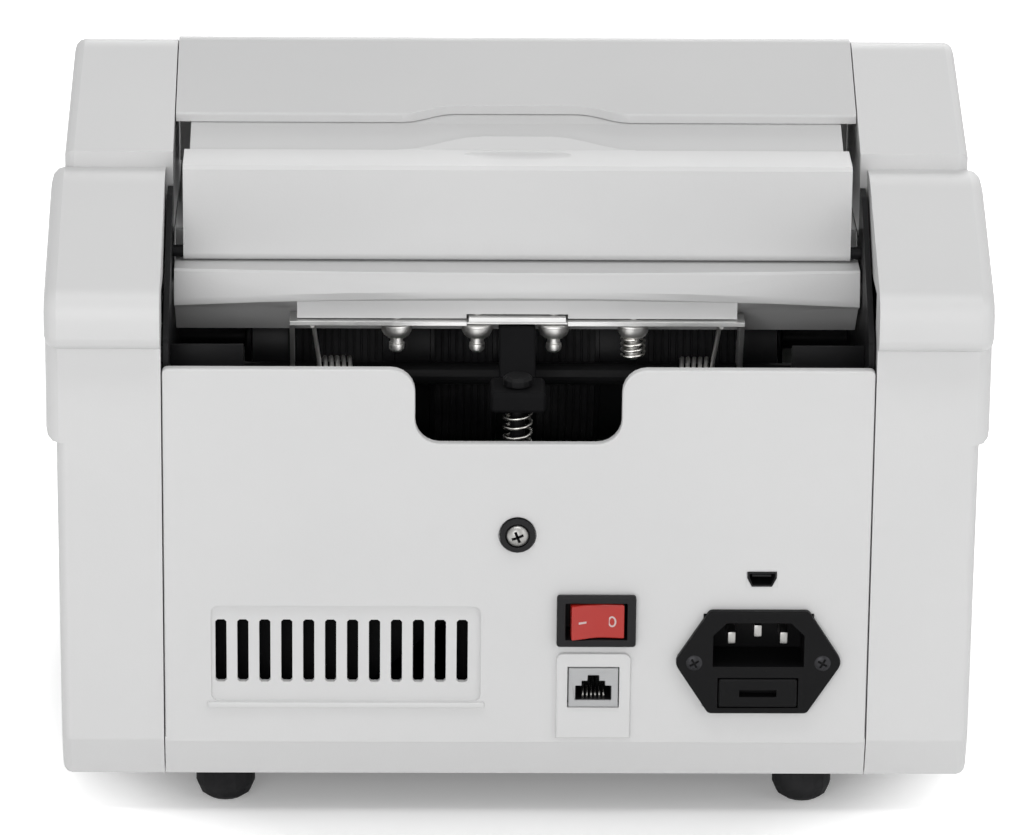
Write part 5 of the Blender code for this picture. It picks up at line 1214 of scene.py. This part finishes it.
@dataclass
class Drives:
    """Belts, flanged pulleys, can motors, the drum's rubber and the wheel hubs, in millimetres."""

    bench: Bench
    wide_bore: float = 3.3
    narrow_bore: float = 2.3
    hole_radius: float = 2.2
    hole_circle: float = 9.5
    holed_above: float = 10.0
    motor_face: float = 92.2
    motor_length: float = 42.0
    hub: Outline = ((5.6, -0.5), (11, -0.5), (11, 0.2), (10.6, 0.25), (5.6, 0.25), (5.6, -0.5))
    drum_place: Point = (0.0, 30.0, 109.0)
    drum_radius: float = 30.0
    drum_half: float = 72.0
    bands: tuple[tuple[int, int], ...] = ((-62, -36), (-22, -6), (6, 22), (36, 62))
    pickup_place: Point = (0.0, -18.0, 143.0)
    tyres: tuple[int, int] = (28, -28)

    def build(self) -> None:
        """Builds the drive parts."""
        for node in ("feed_belt", "pickup_belt", "stacker_belt"):
            band = rounded_edges(self.bench.skin(node, 0.5), 0.25, 60.0)
            self.bench.fit(node + "_band", band, BELTING, stands_for=node, smooth=30.0)
        for node, bore in (("drum_pulley", self.wide_bore), ("feed_motor_pulley", self.narrow_bore),
                           ("stacker_pulley", self.wide_bore), ("stacker_motor_pulley", self.narrow_bore)):
            self.pulley(node, bore)
        for node, side in (("feed_motor", -1), ("stacker_motor", 1)):
            self.motor(node, side)
        for node in ("stacker_wheel_left", "stacker_wheel_right"):
            self.bench.soften(node, 0.3)
            self.hub_rings(node)
        self.drum()
        self.pickup()

    def pulley(self, node: str, bore: float) -> None:
        """A pulley with thin flanges, and with six holes where it is wide enough.

        Args:
            node: the pulley.
            bore: the radius of its bore.
        """
        low, (_, y, z), high = self.bench.box(node)
        radius = (high.z - low.z) / 2
        half = [(bore, 0), (radius - 1.6, 0), (radius - 1.2, 0.3), (radius, 0.9)]
        rim = [*((r, low.x + h) for r, h in half), *((r, high.x - h) for r, h in reversed(half)), (bore, low.x)]
        shape = lathe(rim, Axis.X, (0, y, z), 64)
        if radius > self.holed_above:
            drill = [(0, low.x - 1), (self.hole_radius, low.x - 1), (self.hole_radius, high.x + 1), (0, high.x + 1)]
            holes = [lathe(drill, Axis.X, place, 20)
                     for place in coil(Axis.X, (y, z), self.hole_circle, 6, lambda turned: 0.0, 6)]
            shape = carved(shape, *holes)
        self.bench.fit(node + "_turned", shape, BLACK, stands_for=node)

    def motor(self, node: str, side: int) -> None:
        """A can motor with a crimped rim, a boss, two terminals and a black end cap.

        Args:
            node: the motor.
            side: -1 on the left and 1 on the right.
        """
        low, (_, y, z), high = self.bench.box(node)
        radius, tip = (high.z - low.z) / 2, max(abs(low.x), abs(high.x))
        face, back = self.motor_face, self.motor_face - self.motor_length
        profile = [(0, tip), (1.6, tip), (2, tip - 0.5), (2, face + 0.1), (5.5, face), (5.5, face - 0.4),
                   (radius - 1, face - 0.4), (radius, face - 1.4), (radius, back + 9), (radius - 0.5, back + 8.6),
                   (radius - 0.5, back + 7.6), (radius, back + 7.2), (radius, back + 1.2), (radius - 1, back),
                   (radius - 2.4, back), (radius - 2.6, back + 0.5), (5, back + 0.5), (5, back - 1.8),
                   (1.2, back - 2), (0, back - 2)]
        tabs = [block((back - 1.9, y + across - 0.25, z - 1.2), (back + 1, y + across + 0.25, z + 1.2), 0.1)
                for across in (-7.5, 7.5)]
        cap = [(5.2, back + 0.45), (12.2, back + 0.45), (12.2, back - 0.1), (5.2, back - 0.1), (5.2, back + 0.45)]
        can = joined(lathe(profile, Axis.X, (0, y, z), 56), *tabs)
        ring = lathe(cap, Axis.X, (0, y, z), 40)
        if side < 0:
            can, ring = mirrored(can), mirrored(ring)
        self.bench.fit(node + "_can", can, SHEET, stands_for=node)
        self.bench.fit(node + "_end_cap", ring, BLACK, self.bench.bodies[node])

    def hub_rings(self, node: str) -> None:
        """A raised hub ring on both faces of a stacker wheel.

        Args:
            node: the wheel.
        """
        low, (_, y, z), high = self.bench.box(node)
        rings = [lathe([(r, end + way * out) for r, out in self.hub], Axis.X, (0, y, z), 40)
                 for end, way in ((low.x, -1), (high.x, 1))]
        self.bench.fit(node + "_hub", joined(*rings), BLACK, self.bench.bodies[node])

    def drum(self) -> None:
        """The feed drum: grooved rubber bands on a satin core."""
        radius, half = self.drum_radius, self.drum_half
        tip = self.bench.box("feed_drum")[2].x
        core = [(0, tip), (8, tip), (8, tip - 9), (3, tip - 9.4), (3, half + 2), (13.4, half + 2), (14, half + 1.4),
                (14, half), (27, half), (radius - 0.7, half - 0.5)]
        for centre in (28, 0, -28):
            core += [(radius - 0.7, centre + 5), (radius - 1.5, centre + 4.8), (radius - 1.5, centre - 4.8),
                     (radius - 0.7, centre - 5)]
        core += [(radius - 0.7, 0.5 - half), (27, -half), (14, -half), (14, -half - 1.4), (13.4, -half - 2),
                 (3, -half - 2), (3, -tip), (0, -tip)]
        self.bench.fit("feed_drum_core", lathe(core, Axis.X, self.drum_place, 72), DRUM, "drum", "feed_drum")
        bands = [lathe(ribbed(low, high, radius - 0.9, radius, radius - 0.45, (0.3, 1.5, 1.7)), Axis.X,
                       self.drum_place, 72) for low, high in self.bands]
        self.bench.fit("feed_drum_bands", joined(*bands), RUBBER, "drum")

    def pickup(self) -> None:
        """The pickup roller: a bright shaft with two ribbed tyres."""
        low, _, high = self.bench.box("pickup_roller")
        shaft = [(0, high.x), (8, high.x), (8, high.x - 9), (3, high.x - 9)]
        for at in self.tyres:
            shaft += [(3, at + 10), (6, at + 9.6), (6, at - 9.6), (3, at - 10)]
        shaft += [(3, low.x), (0, low.x)]
        self.bench.fit("pickup_shaft", lathe(shaft, Axis.X, self.pickup_place, 40), SHAFT, "pickup", "pickup_roller")
        tyres = [lathe(ribbed(at - 7, at + 7, 5.9, 12, 11.5, (0.35, 1.65, 1.8)), Axis.X, self.pickup_place)
                 for at in self.tyres]
        self.bench.fit("pickup_tyres", joined(*tyres), RUBBER, "pickup")


@dataclass
class FrontPanel:
    """The display's digits, the window's rim and the marks on the keys, in millimetres on the slope."""

    bench: Bench
    low: Point = (0.0, -114.0, 115.0)
    angle: float = 30.78
    digit_tall: float = 15.0
    digit_top: float = -0.75
    digit_low: tuple[float, float] = (-58.0, 41.0)
    digit_pitch: float = 11.2
    digit_gap: float = 3.0
    key_low: tuple[float, float] = (18.0, 17.0)
    key_pitch: float = 19.0

    def place(self, *shapes: Shape) -> Shape:
        """Joins shapes drawn on the slope's own X, Y and height, and puts them into the frame.

        Args:
            shapes: the shapes.

        Returns:
            The joined shape.
        """
        whole = joined(*shapes)
        matrix = (Matrix.Translation([value * MM for value in self.low])
                  @ Matrix.Rotation(math.radians(self.angle), 4, "X"))
        bmesh.ops.transform(whole, matrix=matrix, verts=whole.verts)
        return whole

    def segment(self, x: float, y: float, wide: float, tall: float) -> Shape:
        """One six-sided bar of a digit.

        Args:
            x: its middle across the slope.
            y: its middle up the slope.
            wide: its size across.
            tall: its size up the slope.

        Returns:
            The bar.
        """
        cut, half = min(wide, tall) / 2, max(wide, tall) / 2
        bar = [(-half, 0), (cut - half, -cut), (half - cut, -cut), (half, 0), (half - cut, cut), (cut - half, cut)]
        points = [(x + a, y + b) if wide > tall else (x - b, y + a) for a, b in bar]
        return prism(points, Axis.Z, self.digit_top - 0.2, self.digit_top + 0.05)

    def build(self) -> None:
        """Builds the digits, the rim, the panel's lines and the key marks."""
        bars = []
        for index in range(6):
            x = self.digit_low[0] + index * self.digit_pitch + (self.digit_gap if index > 2 else 0)
            for way in (1, -1):
                bars.append(self.segment(x, self.digit_low[1] + way * self.digit_tall / 2, 5.4, 1.1))
                bars += [self.segment(x + across, self.digit_low[1] + way * self.digit_tall / 4, 1.1, 6.6)
                         for across in (-3.3, 3.3)]
        self.bench.fit("display_digits", self.place(*bars), DIGIT, "body")
        rim = carved(block((-77.6, 25.4, -1.4), (17.6, 56.6, -0.45), 0.35), block((-75.7, 27.3, -3), (15.7, 54.7, 1)))
        self.bench.fit("display_rim", self.place(rim), BLACK, "body")
        minus = [(-1.8, -0.3), (1.8, -0.3), (1.8, 0.3), (-1.8, 0.3)]
        start = [(-1.5, -1.5), (1.5, 0), (-1.5, 1.5)]
        stop = [(-1.5, -1.5), (1.5, -1.5), (1.5, 1.5), (-1.5, 1.5)]
        x, y = self.key_low
        for index, sign in enumerate(([minus], [minus, [(b, a) for a, b in minus]], [start], [stop])):
            marks = [prism([(x + index * self.key_pitch + a, y + b) for a, b in outline], Axis.Z, 0.42, 0.62)
                     for outline in sign]
            self.bench.fit(f"key_mark_{index + 1}", self.place(*marks), MARK, f"button_{index + 1}")
        lines = [block((-84, y, -1.25), (84, y + 0.6, -1.14)) for y in (8.2, 64)]
        self.bench.fit("panel_lines", self.place(*lines), KEY, "body")


@dataclass
class Electronics:
    """What stands on the main board, in millimetres: boxes as (x, y, width, depth, height)."""

    bench: Bench
    chips: tuple[tuple[float, ...], ...] = (
        (-30, 10, 18, 18, 2.2), (6, 16, 12, 8, 2), (30, 12, 10, 10, 1.8), (-66, 20, 16, 7, 2.5), (10, 34, 14, 6, 2),
        (-20, 38, 9, 6, 1.6),
    )
    headers: tuple[tuple[float, ...], ...] = (
        (-74, 50, 16, 5, 6), (-50, 50, 12, 5, 6), (20, 54, 14, 5, 6), (38, 54, 10, 5, 6),
    )
    capacitors: tuple[tuple[float, ...], ...] = ((-44, 34, 4, 9), (-54, 34, 4, 9), (44, 32, 3, 7), (52, 32, 3, 7))
    sunk: float = 0.05

    def boxes(self, rows: tuple[tuple[float, ...], ...], top: float) -> Shape:
        """Boxes that stand on the board, sunk into it a little."""
        return joined(*(block((x, y, top - self.sunk), (x + w, y + d, top + h), 0.3) for x, y, w, d, h in rows))

    def build(self) -> None:
        """Builds the chips, the capacitors and the headers."""
        top = self.bench.box("main_board")[2].z
        self.bench.fit("board_chips", self.boxes(self.chips, top), BLACK, "body")
        cans = [lathe([(0, 0), (r, 0), (r, h - 0.6), (r - 0.5, h), (0, h)], Axis.Z, (x, y, top - self.sunk), 28)
                for x, y, r, h in self.capacitors]
        self.bench.fit("board_capacitors", joined(*cans), SHEET, "body")
        self.bench.fit("board_headers", self.boxes(self.headers, top), JACK, "body")


def body_table(frame: dict) -> dict[str, str]:
    """Which body each node rides on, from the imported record."""
    return {node: body for body, nodes in frame["record"]["behaviour"]["bodies"].items() for node in nodes}


def main() -> None:
    """Builds the scene round the loaded frame."""
    logging.basicConfig(level=logging.INFO, format="%(name)s: %(message)s")
    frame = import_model()
    Studio().build()
    for name, finish in NODE_FINISH.items():
        node = frame["nodes"][name]
        if not node.material_slots:
            node.data.materials.append(finish.build())
        for place in node.material_slots:
            place.material = finish.build()
    bench = Bench(frame, body_table(frame))
    for assembly in (MouldedShells, RearFittings, PressureUnit, Drives, FrontPanel, Electronics):
        LOG.info("building %s", assembly.__name__)
        assembly(bench).build()


if __name__ == "__main__":
    main()
